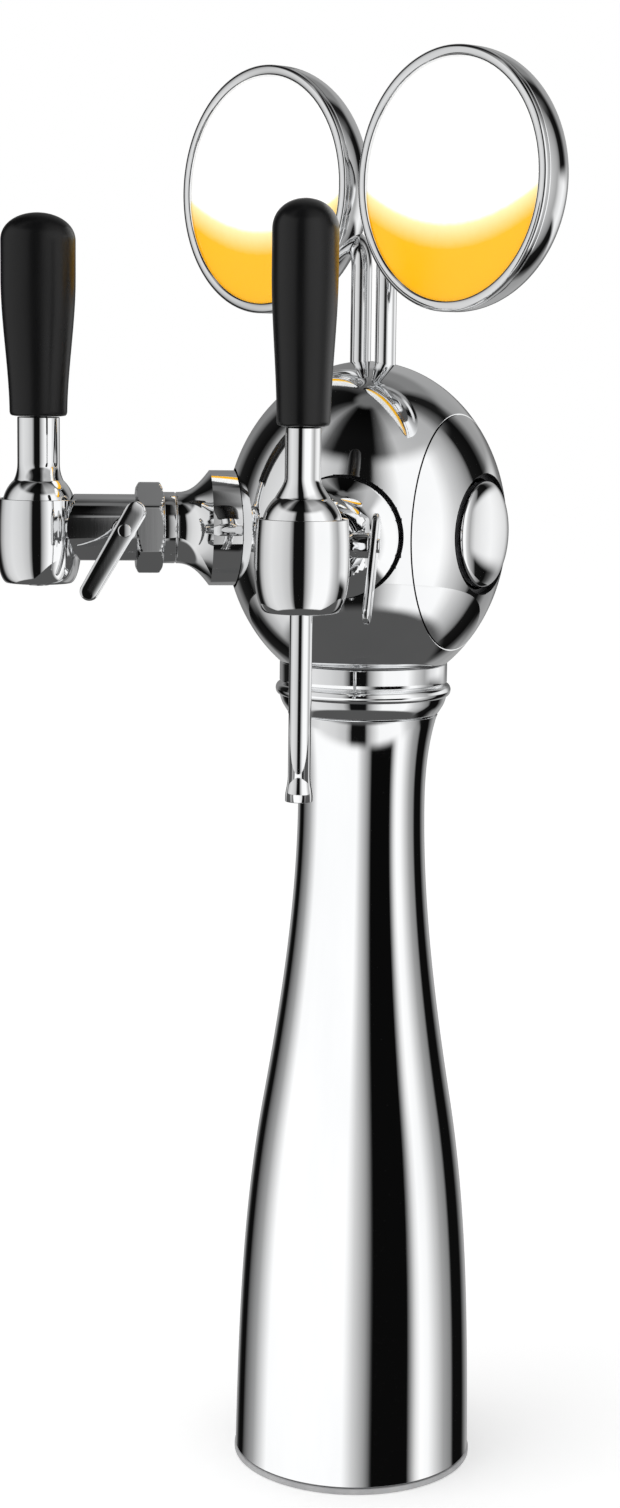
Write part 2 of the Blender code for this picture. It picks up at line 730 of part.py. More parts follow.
def make_outlets(taps):
    top = -body_foot_drop + spout_seat_depth
    foot = -body_foot_drop - spout_length
    bore = spout_radius - spout_wall
    mouth = nozzle_radius - spout_wall
    outline = [(bore, top), (spout_radius, top), (spout_radius, foot + nozzle_length)]
    outline += [(nozzle_radius, foot + nozzle_length * lip_share), (nozzle_radius, foot), (mouth, foot)]
    outline += [(mouth, foot + nozzle_length * lip_share), (bore, foot + nozzle_length)]
    place("spout_right", turned(outline, small_sides), "chrome", taps[0])
    foot = -body_foot_drop - outlet_drop
    place("outlet_ring_left", pipe(spout_radius, bore, foot, top, small_sides), "chrome", taps[1])


def make_stalk(name, side, centre):
    """A stalk and its medallion; side is 1 for the right one and -1 for the left one."""
    surface = head_half_height * math.sqrt(1 - (stalk_offset / head_radius) ** 2)
    bend_start = surface + stalk_straight
    x, y = side * stalk_offset, stalk_depth
    ceiling = head_half_height - head_crown
    low = Vector((x, y, ceiling - stalk_root))
    turn = Vector((x, y, bend_start))
    bend_end = Vector((x + side * stalk_bend, y + stalk_radius, bend_start + stalk_bend))
    tail = bend_end + Vector((side * stalk_tail, stalk_radius / 2, stalk_radius / 2))
    reach = stalk_bend * stalk_ease_share
    drift = (tail - bend_end).normalized() * reach
    curve = bezier(turn, turn + Vector((0, 0, reach)), bend_end - drift, bend_end, curve_steps)
    path = [low] + curve + [tail]
    place("medallion_stalk_" + name, swept(path, stalk_radius), "chrome", centre)
    stalk_cut = place("stalk_cut_" + name, swept(path, stalk_radius + clearance), parent=centre)
    nut_top = ceiling - clearance
    nut = hexagon(stalk_nut_corner, nut_top - stalk_nut_height, nut_top)
    nut = place("stalk_nut_" + name, nut, "brass", centre, (x, y, 0))
    boolean(nut, stalk_cut)
    spot = (side * medallion_offset, -medallion_front, medallion_rise)
    at = frame("medallion_" + name, spot, parent=centre)
    shell_front = bezel_skirt + clearance
    rim_back = shell_front + medallion_rim
    ledge_front = bezel_thickness + clearance + face_thickness + clearance
    ledge_bore = board_radius + clearance
    inner_radius = medallion_radius - medallion_wall
    dome = arc(medallion_radius, medallion_dome, 0, math.pi / 2, curve_steps)
    outer = [(radius, rim_back + depth) for radius, depth in dome]
    outer += [(medallion_radius, shell_front), (inner_radius, shell_front), (inner_radius, ledge_front)]
    ledge_back = ledge_front + ledge_depth
    outer += [(ledge_bore, ledge_front), (ledge_bore, ledge_back), (inner_radius, ledge_back + ledge_width)]
    hollow_depth = medallion_dome + rim_back - medallion_wall - ledge_back - ledge_width
    hollow = arc(inner_radius, hollow_depth, math.pi / 2, 0, hollow_steps)
    inner = [(radius, ledge_back + ledge_width + depth) for radius, depth in hollow]
    housing = place("medallion_housing_" + name, turned(outer + inner[1:], fine_sides, "Y"), "chrome", at)
    boolean(housing, stalk_cut)
    skirt_bore = face_radius + clearance
    edge = bezel_thickness
    outline = [(bezel_opening, edge), (bezel_opening, edge * lip_share), (bezel_opening + edge, 0)]
    outline += [(medallion_radius - edge, 0), (medallion_radius, edge), (medallion_radius, bezel_skirt)]
    outline += [(skirt_bore, bezel_skirt), (skirt_bore, edge)]
    place("medallion_bezel_" + name, turned(outline, fine_sides, "Y"), "chrome", at)
    face_front = bezel_thickness + clearance
    face_back = face_front + face_thickness
    place("medallion_face_" + name, rod(face_radius, face_front, face_back, fine_sides, "Y"), "white", at)
    board_front = face_back + clearance
    board = rod(board_radius, board_front, board_front + board_thickness, fine_sides, "Y")
    place("medallion_board_" + name, board, "green board", at)


def make_water_tube(name, side, angle):
    """A tube from the foot's passage, up the column, to the inner end of a shank."""
    out = Vector((math.sin(angle), -math.cos(angle), 0))
    end = Vector((0, 0, head_height)) + out * (shank_start - clearance)
    foot = Vector((side * tube_port_offset, 0, 0))
    level = Vector((foot.x, 0, tube_foot_height))
    gather = Vector((side * tube_gather, 0, tube_gather_height))
    neck = Vector((side * tube_gather, 0, head_foot + head_floor))
    lift = Vector((0, 0, (tube_gather_height - tube_foot_height) / 2))
    rise = Vector((0, 0, (head_height - neck.z) * tube_ease_share))
    path = [foot + Vector((0, 0, clearance))]
    path += bezier(level, level + lift, gather - lift, gather, bend_steps)
    start = end - out * tube_radius
    path += bezier(neck, neck + rise, start - out * tube_gather, start, bend_steps) + [end]
    place("water_tube_" + name, swept(path, tube_radius, tube_bore, tube_sides), "clear tube")


centre = frame("head_centre", (0, 0, head_height))
sides = (("right", 1), ("left", -1))
tap_frames = []
cover_frames = []
for side_name, side in sides:
    tap_turn, cover_turn = side * port_angle - math.pi / 2, side * cover_angle - math.pi / 2
    tap_frames.append(frame("tap_port_" + side_name, turn=tap_turn, parent=centre))
    cover_frames.append(frame("cover_port_" + side_name, turn=cover_turn, parent=centre))

rod_seat = make_foot()
make_column()
make_collar()
make_head(centre, tap_frames, cover_frames)
make_tie_rod(rod_seat)
taps = []
for (side_name, side), port in zip(sides, tap_frames):
    neck_end = make_shank(side_name, port)
    tap_frame = frame("tap_" + side_name, (tap_reach, 0, 0), parent=port)
    taps.append(tap_frame)
    make_body(side_name, tap_frame, neck_end)
    lever_pivot = make_tap_lever(side_name, tap_frame)
    make_grip(side_name, lever_pivot)
    make_piston(side_name, tap_frame)
    make_compensator(side_name, tap_frame)
    make_stalk(side_name, side, centre)
    make_water_tube(side_name, side, side * port_angle)
make_outlets(taps)
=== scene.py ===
import math

import bpy
import numpy as np
from mathutils import Matrix


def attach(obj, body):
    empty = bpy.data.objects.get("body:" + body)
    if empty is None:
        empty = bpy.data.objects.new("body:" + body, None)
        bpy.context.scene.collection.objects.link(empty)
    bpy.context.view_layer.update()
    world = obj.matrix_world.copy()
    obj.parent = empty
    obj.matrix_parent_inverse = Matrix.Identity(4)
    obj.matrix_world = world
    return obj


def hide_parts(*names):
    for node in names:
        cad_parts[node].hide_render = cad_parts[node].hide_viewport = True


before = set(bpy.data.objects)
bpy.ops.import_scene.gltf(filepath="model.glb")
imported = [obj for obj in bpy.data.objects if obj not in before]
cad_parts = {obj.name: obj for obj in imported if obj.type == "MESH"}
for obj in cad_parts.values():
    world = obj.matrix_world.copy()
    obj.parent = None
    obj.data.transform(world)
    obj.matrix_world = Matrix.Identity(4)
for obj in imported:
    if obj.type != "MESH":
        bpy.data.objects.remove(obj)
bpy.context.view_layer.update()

# Shared places, in metres, as the CAD frame has them
tower = {
    "headHeight": 0.466,  # centre of the egg-shaped head
    "portTurn": math.radians(36),  # the taps' directions, from -Y
    "coverTurn": math.radians(108),
    "portFloor": 0.060,
    "tapReach": 0.157,
    "pivotRise": 0.0095,
    "gap": 0.0003,
}
sideSigns = (("right", 1), ("left", -1))
print("frame loaded:", len(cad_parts), "CAD nodes")


def placeFrame(side=0, turn=0.0, reach=0.0, rise=0.0):
    # Axes of a port: rows are outwards, across and up; the origin lies reach outwards at the head's height
    outward = np.array([side * math.sin(turn), -math.cos(turn), 0.0])
    across = np.array([math.cos(turn), side * math.sin(turn), 0.0])
    origin = outward * reach + np.array([0, 0, tower["headHeight"] + rise])
    return origin, np.array([outward, across, [0.0, 0.0, 1.0]])


worldFrame = (np.zeros(3), np.eye(3))


def softened(outline, radii, steps=5):
    # Rounds an outline's corners: each corner becomes a quadratic arc between points that lie its radius
    # along both sides
    points = np.asarray(outline, float)
    radii = np.broadcast_to(np.asarray(radii, float), len(points)).copy()
    before, after = points[:-2] - points[1:-1], points[2:] - points[1:-1]
    beforeLength = np.linalg.norm(before, axis=1, keepdims=True)
    afterLength = np.linalg.norm(after, axis=1, keepdims=True)
    reach = np.minimum(radii[1:-1, None], 0.45 * np.minimum(beforeLength, afterLength))
    start = points[1:-1] + before / beforeLength * reach
    end = points[1:-1] + after / afterLength * reach
    share = np.linspace(0, 1, steps + 1)[None, :, None]
    arcs = (1 - share) ** 2 * start[:, None] + 2 * share * (1 - share) * points[1:-1,
        None] + share ** 2 * end[:, None]
    return np.vstack([points[:1], arcs.reshape(-1, 2), points[-1:]])


def gridFaces(index, closedAround=True):
    # Quads between neighbouring rows of an index grid; cells that share a pole become triangles
    following = np.roll(index, -1, axis=1) if closedAround else index[:, 1:]
    here = index if closedAround else index[:, :-1]
    return np.stack([here[:-1], following[:-1], following[1:], here[1:]], axis=-1).reshape(-1, 4)


def putMesh(name, points, quads, look, body, slotName=None, nodes=(), sharp=35):
    # Puts arrays into a mesh: doubled corners are dropped, faces are turned outwards by the enclosed
    # volume's sign
    points = np.asarray(points, float)
    quads = np.asarray(quads)
    first, second, third, fourth = (points[quads[:, corner]] for corner in range(4))
    volume = np.einsum("ij,ij->i", first, np.cross(second, third)).sum() + np.einsum("ij,ij->i", first,
        np.cross(third, fourth)).sum()
    if volume < 0:
        quads = quads[:, ::-1]
    same = quads == np.roll(quads, -1, axis=1)
    corners = (~same).sum(axis=1)
    keep = corners >= 3
    quads, same, corners = quads[keep], same[keep], corners[keep]
    loops = quads[~same]
    mesh = bpy.data.meshes.new(name)
    mesh.vertices.add(len(points))
    mesh.vertices.foreach_set("co", points.astype(np.float32).ravel())
    mesh.loops.add(len(loops))
    mesh.loops.foreach_set("vertex_index", loops.astype(np.int32))
    starts = np.concatenate([[0], np.cumsum(corners)[:-1]]).astype(np.int32)
    mesh.polygons.add(len(corners))
    mesh.polygons.foreach_set("loop_start", starts)
    mesh.update(calc_edges=True)
    mesh.validate()
    mesh.shade_smooth()
    mesh.set_sharp_from_angle(angle=math.radians(sharp))
    obj = bpy.data.objects.new(name, mesh)
    bpy.context.scene.collection.objects.link(obj)
    if look:
        mesh.materials.append(look)
    if body:
        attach(obj, body)
        if nodes:
            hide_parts(*nodes)
    return obj


def turnedGrid(outline, place, along=2, sides=96, wide=1.0, high=1.0):
    # Surface of revolution: point = origin + place(v) * axis + radius(v) * (wide cos u, high sin u); rows on
    # the axis become one pole
    outline = np.asarray(outline, float)
    origin, axes = place
    angle = np.linspace(0, math.tau, sides, endpoint=False)
    first, second = axes[(along + 1) % 3], axes[(along + 2) % 3]
    spokes = np.cos(angle)[:, None] * first * wide + np.sin(angle)[:, None] * second * high
    points = origin + outline[:, 1, None, None] * axes[along] + outline[:, 0, None, None] * spokes[None]
    index = np.arange(len(outline) * sides).reshape(len(outline), sides)
    index[outline[:, 0] < 1e-7] = index[outline[:, 0] < 1e-7][:, :1]
    return points.reshape(-1, 3), index


def turnedPiece(name, outline, place, look, body, along=2, sides=96, wide=1.0, high=1.0, **more):
    # A closed outline (both ends on the axis) or a ring-shaped one, whose last point joins its first
    outline = np.asarray(outline, float)
    points, index = turnedGrid(outline, place, along, sides, wide, high)
    if outline[0, 0] > 1e-7 or outline[-1, 0] > 1e-7:
        index = np.vstack([index, index[:1]])
    return putMesh(name, points, gridFaces(index), look, body, **more)


def tubeGrid(path, radius, sides=32):
    # A ring of the given radius carried along a path, square to it at each point, by the least turning frame
    path = np.asarray(path, float)
    radius = np.broadcast_to(np.asarray(radius, float), len(path))
    along = np.gradient(path, axis=0)
    along /= np.linalg.norm(along, axis=1, keepdims=True)
    side = np.cross(along, [0.0, 1.0, 0.0])
    side /= np.linalg.norm(side, axis=1, keepdims=True)
    other = np.cross(along, side)
    angle = np.linspace(0, math.tau, sides, endpoint=False)
    rings = side[:, None] * np.cos(angle)[None, :, None] + other[:, None] * np.sin(angle)[None, :, None]
    return path[:, None] + rings * radius[:, None, None]


def bezierPath(start, startHandle, endHandle, end, steps):
    share = np.linspace(0, 1, steps + 1)[:, None]
    return ((1 - share) ** 3 * start + 3 * share * (1 - share) ** 2 * startHandle
        + 3 * share ** 2 * (1 - share) * endHandle + share ** 3 * end)


def circleOutline(across, along, first, last, steps):
    # Points of an ellipse by the angle from its top, as (radius, place)
    angle = np.linspace(first, last, steps + 1)
    return np.column_stack([across * np.sin(angle), along * np.cos(angle)])


def cutWith(obj, cutter, operation="DIFFERENCE"):
    # Applies an exact Boolean and drops the tool
    modifier = obj.modifiers.new("cut", "BOOLEAN")
    modifier.operation, modifier.solver, modifier.object = operation, "EXACT", cutter
    graph = bpy.context.evaluated_depsgraph_get()
    cut = bpy.data.meshes.new_from_object(obj.evaluated_get(graph))
    obj.modifiers.clear()
    obj.data = cut
    cut.name = obj.name
    bpy.data.objects.remove(cutter)
    cut.shade_smooth()
    cut.set_sharp_from_angle(angle=math.radians(28))
    return obj


def dressPiece(obj, look, body, node):
    # Gives a cut piece its one finish, its body, the CAD node that it replaces and its material slot
    obj.data.materials.clear()
    obj.data.materials.append(look)
    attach(obj, body)
    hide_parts(node)


def boxPiece(name, low, high, place):
    # A plain cutting block in a port's own axes
    origin, axes = place
    corners = np.array([[x, y, z] for x in (low[0], high[0]) for y in (low[1], high[1]) for z in (low[2],
        high[2])])
    quads = np.array([[0, 1, 3, 2], [4, 6, 7, 5], [0, 4, 5, 1], [2, 3, 7, 6], [0, 2, 6, 4], [1, 5, 7, 3]])
    return putMesh(name, origin + corners @ axes, quads, None, None)


# Materials
def nodeAdder(tree):
    # Makes nodes in a tree: an input that is another node's output is linked, any other is set
    def add(kind, inputs=(), **settings):
        node = tree.nodes.new(kind)
        for key, value in settings.items():
            setattr(node, key, value)
        for socket, value in dict(inputs).items():
            if hasattr(value, "is_output"):
                tree.links.new(value, node.inputs[socket])
            else:
                node.inputs[socket].default_value = value
        return node

    return add


def nodeKit(name):
    material = bpy.data.materials.new(name)
    material.use_nodes = True
    tree = material.node_tree
    shader = tree.nodes["Principled BSDF"]
    place = tree.nodes.new("ShaderNodeTexCoord")
    add = nodeAdder(tree)

    def link(output, socket):
        tree.links.new(output, shader.inputs[socket])

    def noise(scale, detail=4.0, stretch=(1, 1, 1), rough=0.55):
        spread = add("ShaderNodeMapping", {"Vector": place.outputs["Object"], "Scale": stretch})
        return add("ShaderNodeTexNoise", {"Vector": spread.outputs[0], "Scale": scale, "Detail": detail,
            "Roughness": rough}).outputs["Fac"]

    def ramp(value, stops):
        node = add("ShaderNodeValToRGB", {"Fac": value})
        elements = node.color_ramp.elements
        while len(elements) < len(stops):
            elements.new(0.5)
        for element, (at, colour) in zip(elements, stops):
            element.position = at
            element.color = (*colour, 1) if hasattr(colour, "__len__") else (colour, colour, colour, 1)
        return node.outputs["Color"]

    def bump(height, strength, distance):
        link(add("ShaderNodeBump", {"Height": height, "Strength": strength,
            "Distance": distance}).outputs["Normal"], "Normal")

    return material, shader, place, add, link, noise, ramp, bump


chromeLook = {"bright": (0.955, 0.96, 0.965), "dull": (0.89, 0.90, 0.91), "smooth": 0.018, "wiped": 0.06}


def chromeMaterial(name, stretch=(1, 1, 0.35), tint=1.0):
    # Bright nickel-chrome plate: faint wiping streaks in the gloss, a slight tone drift and hairline
    # scratches
    material, shader, place, add, link, noise, ramp, bump = nodeKit(name)
    shader.inputs["Metallic"].default_value = 1.0
    bright = tuple(value * tint for value in chromeLook["bright"])
    dull = tuple(value * tint for value in chromeLook["dull"])
    link(ramp(noise(22, 5, stretch), [(0.30, dull), (0.62, bright)]), "Base Color")
    link(ramp(noise(60, 6, stretch), [(0.35, chromeLook["smooth"]), (0.75, chromeLook["wiped"])]),
        "Roughness")
    hairlines = noise(900, 2, (1, 1, 0.03))
    bump(hairlines, 0.012, 0.0002)
    return material


def metalMaterial(name, light, dark, rough=(0.24, 0.42), grain=(1, 1, 14), height=0.15):
    # Turned or machined metal: fine grain along one axis, darker in the pores
    material, shader, place, add, link, noise, ramp, bump = nodeKit(name)
    shader.inputs["Metallic"].default_value = 1.0
    link(ramp(noise(140, 5, grain), [(0.3, dark), (0.7, light)]), "Base Color")
    link(ramp(noise(90, 4, grain), [(0.3, rough[0]), (0.75, rough[1])]), "Roughness")
    bump(noise(420, 3, grain), height, 0.0002)
    return material


def plainMaterial(name, light, dark, rough, scale=60, height=0.2, depth=0.0003, coat=0.0):
    # Moulded rubber, plastic or paint: tone drift, fine pores and uneven gloss
    material, shader, place, add, link, noise, ramp, bump = nodeKit(name)
    link(ramp(noise(scale, 5), [(0.3, dark), (0.7, light)]), "Base Color")
    link(ramp(noise(scale * 1.7, 5), [(0.3, rough[0]), (0.75, rough[1])]), "Roughness")
    shader.inputs["Coat Weight"].default_value = coat
    shader.inputs["Coat Roughness"].default_value = 0.06
    bump(noise(scale * 12, 4), height, depth)
    return material


looks = {"column": chromeMaterial("columnChrome", (1, 1, 0.2)),
    "head": chromeMaterial("headChrome", (1, 1, 1)), "tap": chromeMaterial("tapChrome", (1, 1, 0.6)),
    "medallion": chromeMaterial("medallionChrome", (1, 1, 1)),
    "steel": metalMaterial("turnedSteel", (0.62, 0.62, 0.63), (0.42, 0.42, 0.44)),
    # Recess material: near-black rough metal, painted shade for the dark inside of each port recess
    "cast": metalMaterial("castRecess", (0.10, 0.10, 0.105), (0.03, 0.03, 0.032), (0.38, 0.60), (1, 1, 1),
    0.4), "brass": metalMaterial("machinedBrass", (0.78, 0.60, 0.28), (0.52, 0.38, 0.15), (0.2, 0.4)),
    "iron": plainMaterial("paintedIron", (0.030, 0.030, 0.032), (0.012, 0.012, 0.013), (0.4, 0.7), 90, 0.5,
    0.0006), "gasket": plainMaterial("footRubber", (0.50, 0.50, 0.50), (0.36, 0.36, 0.37), (0.55, 0.8), 70,
    0.3), "seal": plainMaterial("sealRubber", (0.03, 0.03, 0.03), (0.012, 0.012, 0.012), (0.5, 0.8)),
    "cone": plainMaterial("coneAcetal", (0.88, 0.88, 0.86), (0.80, 0.80, 0.77), (0.3, 0.5)),
    "tube": plainMaterial("lineTube", (0.80, 0.83, 0.86), (0.70, 0.74, 0.78), (0.15, 0.35))}


def gripMaterial():
    # Polished black phenolic: near-black body, faint marbling, wiped gloss under a thin lacquer
    material, shader, place, add, link, noise, ramp, bump = nodeKit("gripBlack")
    link(ramp(noise(35, 6, (1, 1, 0.3)), [(0.25, (0.0022, 0.0022, 0.0025)), (0.8, (0.006, 0.006, 0.0065))]),
        "Base Color")
    link(ramp(noise(80, 5, (1, 1, 0.3)), [(0.3, 0.26), (0.75, 0.40)]), "Roughness")
    shader.inputs["Specular IOR Level"].default_value = 0.30
    shader.inputs["Coat Weight"].default_value = 0.10
    shader.inputs["Coat Roughness"].default_value = 0.16
    bump(noise(700, 3), 0.05, 0.0002)
    return material


faceArt = {"crescent": (1.0, 0.50, 0.006), "pale": (1.0, 0.86, 0.42), "white": (0.97, 0.97, 0.96),
    "low": -0.35, "curve": 0.30, "glow": 0.22}


def faceMaterial(name, centreX):
    # White lamp face with a smile-shaped amber crescent: amber lies below the parabola z = low + curve * x *
    # x, in radii of the face,
    # and fades to white towards that edge
    material, shader, place, add, link, noise, ramp, bump = nodeKit(name)
    radius, centreZ = medallion["opening"], tower["headHeight"] + medallion["rise"]
    centred = add("ShaderNodeMapping", {"Vector": place.outputs["Object"],
        "Location": (-centreX / radius, 0, -centreZ / radius), "Scale": (1 / radius, 1, 1 / radius)})
    split = add("ShaderNodeSeparateXYZ", {"Vector": centred.outputs[0]})
    square = add("ShaderNodeMath", {0: split.outputs[0], 1: split.outputs[0]}, operation="MULTIPLY")
    edge = add("ShaderNodeMath", {0: square.outputs[0], 1: faceArt["curve"], 2: faceArt["low"]},
        operation="MULTIPLY_ADD")
    below = add("ShaderNodeMath", {0: edge.outputs[0], 1: split.outputs[2]}, operation="SUBTRACT")
    grain = add("ShaderNodeMath", {0: noise(260, 3), 1: 0.02, 2: below.outputs[0]}, operation="MULTIPLY_ADD")
    art = ramp(grain.outputs[0], [(0.0, faceArt["white"]), (0.012, faceArt["white"]), (0.05, faceArt["pale"]),
        (0.24, faceArt["crescent"]), (0.6, faceArt["crescent"])])
    tone = ramp(noise(18, 3), [(0.3, 0.96), (0.7, 1.0)])
    mixed = add("ShaderNodeMix", {0: 1.0, 6: art, 7: tone}, data_type="RGBA", blend_type="MULTIPLY")
    link(mixed.outputs[2], "Base Color")
    link(mixed.outputs[2], "Emission Color")
    shader.inputs["Emission Strength"].default_value = faceArt["glow"]
    link(ramp(noise(120, 4), [(0.3, 0.16), (0.75, 0.26)]), "Roughness")
    bump(noise(500, 2), 0.03, 0.0001)
    return material


def boardMaterial():
    # Lamp board: green lacquer with brick-laid copper pads
    material, shader, place, add, link, noise, ramp, bump = nodeKit("lampBoard")
    turned = add("ShaderNodeMapping", {"Vector": place.outputs["Object"], "Rotation": (math.pi / 2, 0, 0)})
    pads = add("ShaderNodeTexBrick", {"Vector": turned.outputs[0], "Scale": 60.0, "Mortar Size": 0.035,
        "Color1": (0.02, 0.16, 0.06, 1), "Color2": (0.03, 0.20, 0.08, 1), "Mortar": (0.45, 0.28, 0.10, 1)})
    link(pads.outputs["Color"], "Base Color")
    link(ramp(noise(80), [(0.3, 0.3), (0.7, 0.5)]), "Roughness")
    bump(pads.outputs["Fac"], 0.2, 0.0002)
    return material


looks["grip"] = gripMaterial()
looks["board"] = boardMaterial()
print("materials made:", len(looks) + 2)

# CAD nodes that stay, with their finishes
keptLooks = {"iron": ("base_plate",), "seal": ("neck_seal_ring",),
    "steel": ("tie_rod", "clamp_bridge", "tie_rod_nut", "shank_right", "shank_left"),
    "brass": tuple(kind + "_" + side for kind in ("side_cap_nut", "shank_nut", "stalk_nut",
    "valve_piston") for side, _ in sideSigns), "cone": ("compensator_cone_right", "compensator_cone_left"),
    "board": ("medallion_board_right", "medallion_board_left"),
    "tube": ("water_tube_right", "water_tube_left")}
for look, names in keptLooks.items():
    for name in names:
        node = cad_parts[name]
        node.data.materials.clear()
        node.data.materials.append(looks[look])

# Foot and column
foot = {"radius": 0.0593, "thickness": 0.0027, "portRadius": 0.014, "portPlace": 0.031, "rounding": 0.0006}
column = {"foot": 0.003, "height": 0.374, "wall": 0.0022, "baseRadius": 0.0588, "flankRadius": 0.0465,
    "flankHeight": 0.180, "waistRadius": 0.031, "waistHeight": 0.330, "topRadius": 0.0365,
    "slopes": (-0.018, -0.17, 0.30), "rounding": 0.0007}


def cubicBetween(height, start, end, startSlope, endSlope):
    # Cubic Hermite curve between two (height, radius) points with given slopes
    length = end[0] - start[0]
    share = (height - start[0]) / length
    square, cube = share ** 2, share ** 3
    return ((2 * cube - 3 * square + 1) * start[1] + (3 * square - 2 * cube) * end[1]
        + (cube - 2 * square + share) * startSlope * length + (cube - square) * endSlope * length)


def columnRadius(height):
    # The column's outer radius: three cubics from foot to flank, waist and top
    base, flank = (0, column["baseRadius"]), (column["flankHeight"], column["flankRadius"])
    waist, top = (column["waistHeight"], column["waistRadius"]), (column["height"], column["topRadius"])
    baseSlope, flankSlope, topSlope = column["slopes"]
    return np.where(height < flank[0], cubicBetween(height, base, flank, baseSlope, flankSlope),
        np.where(height < waist[0], cubicBetween(height, flank, waist, flankSlope, 0),
        cubicBetween(height, waist, top, 0, topSlope)))


def makeFoot():
    radius, top = foot["radius"], foot["thickness"]
    outline = softened([(0, 0), (radius, 0), (radius, top), (0, top)], foot["rounding"])
    gasket = turnedPiece("footGasket", outline, worldFrame, looks["gasket"], None, sides=160)
    for side in (1, -1):
        place = (np.array([side * foot["portPlace"], 0, 0]), np.eye(3))
        cutWith(gasket, turnedPiece("passage", [(0, -0.01), (foot["portRadius"], -0.01),
            (foot["portRadius"], 0.02), (0, 0.02)], place, None, None, sides=64))
    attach(gasket, "tower")
    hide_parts("base_gasket")


def makeColumn():
    heights = np.linspace(0, column["height"], 141)
    outer = np.column_stack([columnRadius(heights), column["foot"] + heights])
    inner = outer[::-10] - [column["wall"], 0]
    outline = np.vstack([[outer[0] - [column["rounding"], 0], outer[0] + [0, column["rounding"]]],
        outer[1:-1], [outer[-1] - [0, column["rounding"]], outer[-1] - [column["rounding"], 0]], inner])
    turnedPiece("towerColumn", outline, worldFrame, looks["column"], "tower", sides=192, slotName="column",
        nodes=("column_shell",))


collar = {"foot": 0.3773, "top": 0.4017, "radius": 0.0407, "footRadius": 0.0368, "beadRadius": 0.0426,
    "beadHeight": 0.3885, "beadHalf": 0.0028, "groove": 0.0008, "bore": 0.027, "spigotFoot": 0.3653,
    "spigotRadius": 0.0330}


def makeCollar():
    bead, half = collar["beadHeight"], collar["beadHalf"]
    beadArc = circleOutline(collar["beadRadius"] - collar["radius"], half, math.pi, 0,
        12) + [collar["radius"], bead]
    ringOut, ringIn, ringFloor = 0.0356, 0.0324, 0.3988
    low = softened([(ringOut, collar["top"]), (ringOut, ringFloor), (ringIn, ringFloor),
        (ringIn, collar["top"]), (collar["bore"], collar["top"]), (collar["bore"], collar["spigotFoot"]),
        (collar["spigotRadius"], collar["spigotFoot"]), (collar["spigotRadius"], collar["foot"]),
        (collar["footRadius"], collar["foot"]), (0.0396, 0.3818), tuple(beadArc[0])],
        [0, .0003, .0003, .0003, .0008, .0008, .0006, .0002, .0006, .0035, 0], 5)
    upper = softened([tuple(beadArc[-1]), (collar["radius"] - collar["groove"], beadArc[-1][1] + 0.0002),
        (collar["radius"] - collar["groove"], beadArc[-1][1] + 0.0008),
        (collar["radius"], beadArc[-1][1] + 0.0012), (collar["radius"], collar["top"]),
        (ringOut + 0.0002, collar["top"])], [0, .0002, .0002, .0003, .0009, 0], 5)
    outline = np.vstack([low, beadArc[1:-1], upper])
    turnedPiece("neckCollarRing", outline, worldFrame, looks["column"], "tower", sides=160, slotName="column",
        nodes=("neck_collar",))


makeFoot()
makeColumn()
makeCollar()
print("foot, column and collar done")

# Head, covers and caps
head = {"radius": 0.068, "half": 0.080, "wall": 0.004, "footDrop": 0.064, "floor": 0.008, "crown": 0.010,
    "bore": 0.024, "recess": 0.0285, "seam": 0.049, "seamGap": 0.0005, "shankHole": 0.0083,
    "stemHole": 0.0083, "over": 0.006}
cap = {"radius": 0.025, "edge": 0.0032, "height": 0.0078, "stem": 0.008, "stemLength": 0.026}


def eggBlank(name, shrink=0.0, low=None, high=None, sides=192, rows=120):
    # The head's egg: half widths radius and half, less a wall
    across, along = head["radius"] - shrink, head["half"] - shrink
    first = math.acos(min(1, high / along)) if high else 0
    last = math.acos(max(-1, low / along)) if low else math.pi
    outline = circleOutline(across, along, first, last, rows)
    outline[0, 0] = 0 if not high else outline[0, 0]
    outline[-1, 0] = 0 if not low else outline[-1, 0]
    if high:
        outline = np.vstack([[0, high], outline])
    if low:
        outline = np.vstack([outline, [0, low]])
    return turnedPiece(name, outline, placeFrame(), None, None, sides=sides)


def plug(name, radius, low, high, place, along=0, sides=96):
    return turnedPiece(name, [(0, low), (radius, low), (radius, high), (0, high)], place, None, None,
        along=along, sides=sides)


def openPort(obj, place, hole):
    # A round recess with a flat floor, and the hole through it
    rimmed = softened([(0, tower["portFloor"]), (head["recess"], tower["portFloor"]), (head["recess"], 0.08),
        (0, 0.08)], [0, 0.0006, 0, 0], 4)
    cutWith(obj, turnedPiece("recess", rimmed, place, None, None, along=0, sides=160))
    cutWith(obj, plug("hole", hole, 0.038, 0.064, place, sides=48))


def paintRecessShade(obj, places):
    # The faces inside each round recess take a second material, a near-black rough metal that is painted shade
    # standing in for the dark inside of the recess
    centres = np.empty(len(obj.data.polygons) * 3)
    obj.data.polygons.foreach_get("center", centres)
    chosen = np.zeros(len(obj.data.polygons), dtype=np.int32)
    for origin, axes in places:
        local = (centres.reshape(-1, 3) - origin) @ axes.T
        chosen |= (local[:, 0] > tower["portFloor"] - 0.0003) & (np.hypot(local[:, 1],
            local[:, 2]) < head["recess"] + 0.0001)
    obj.data.materials.append(looks["cast"])
    obj.data.polygons.foreach_set("material_index", chosen)
    obj.data.update()


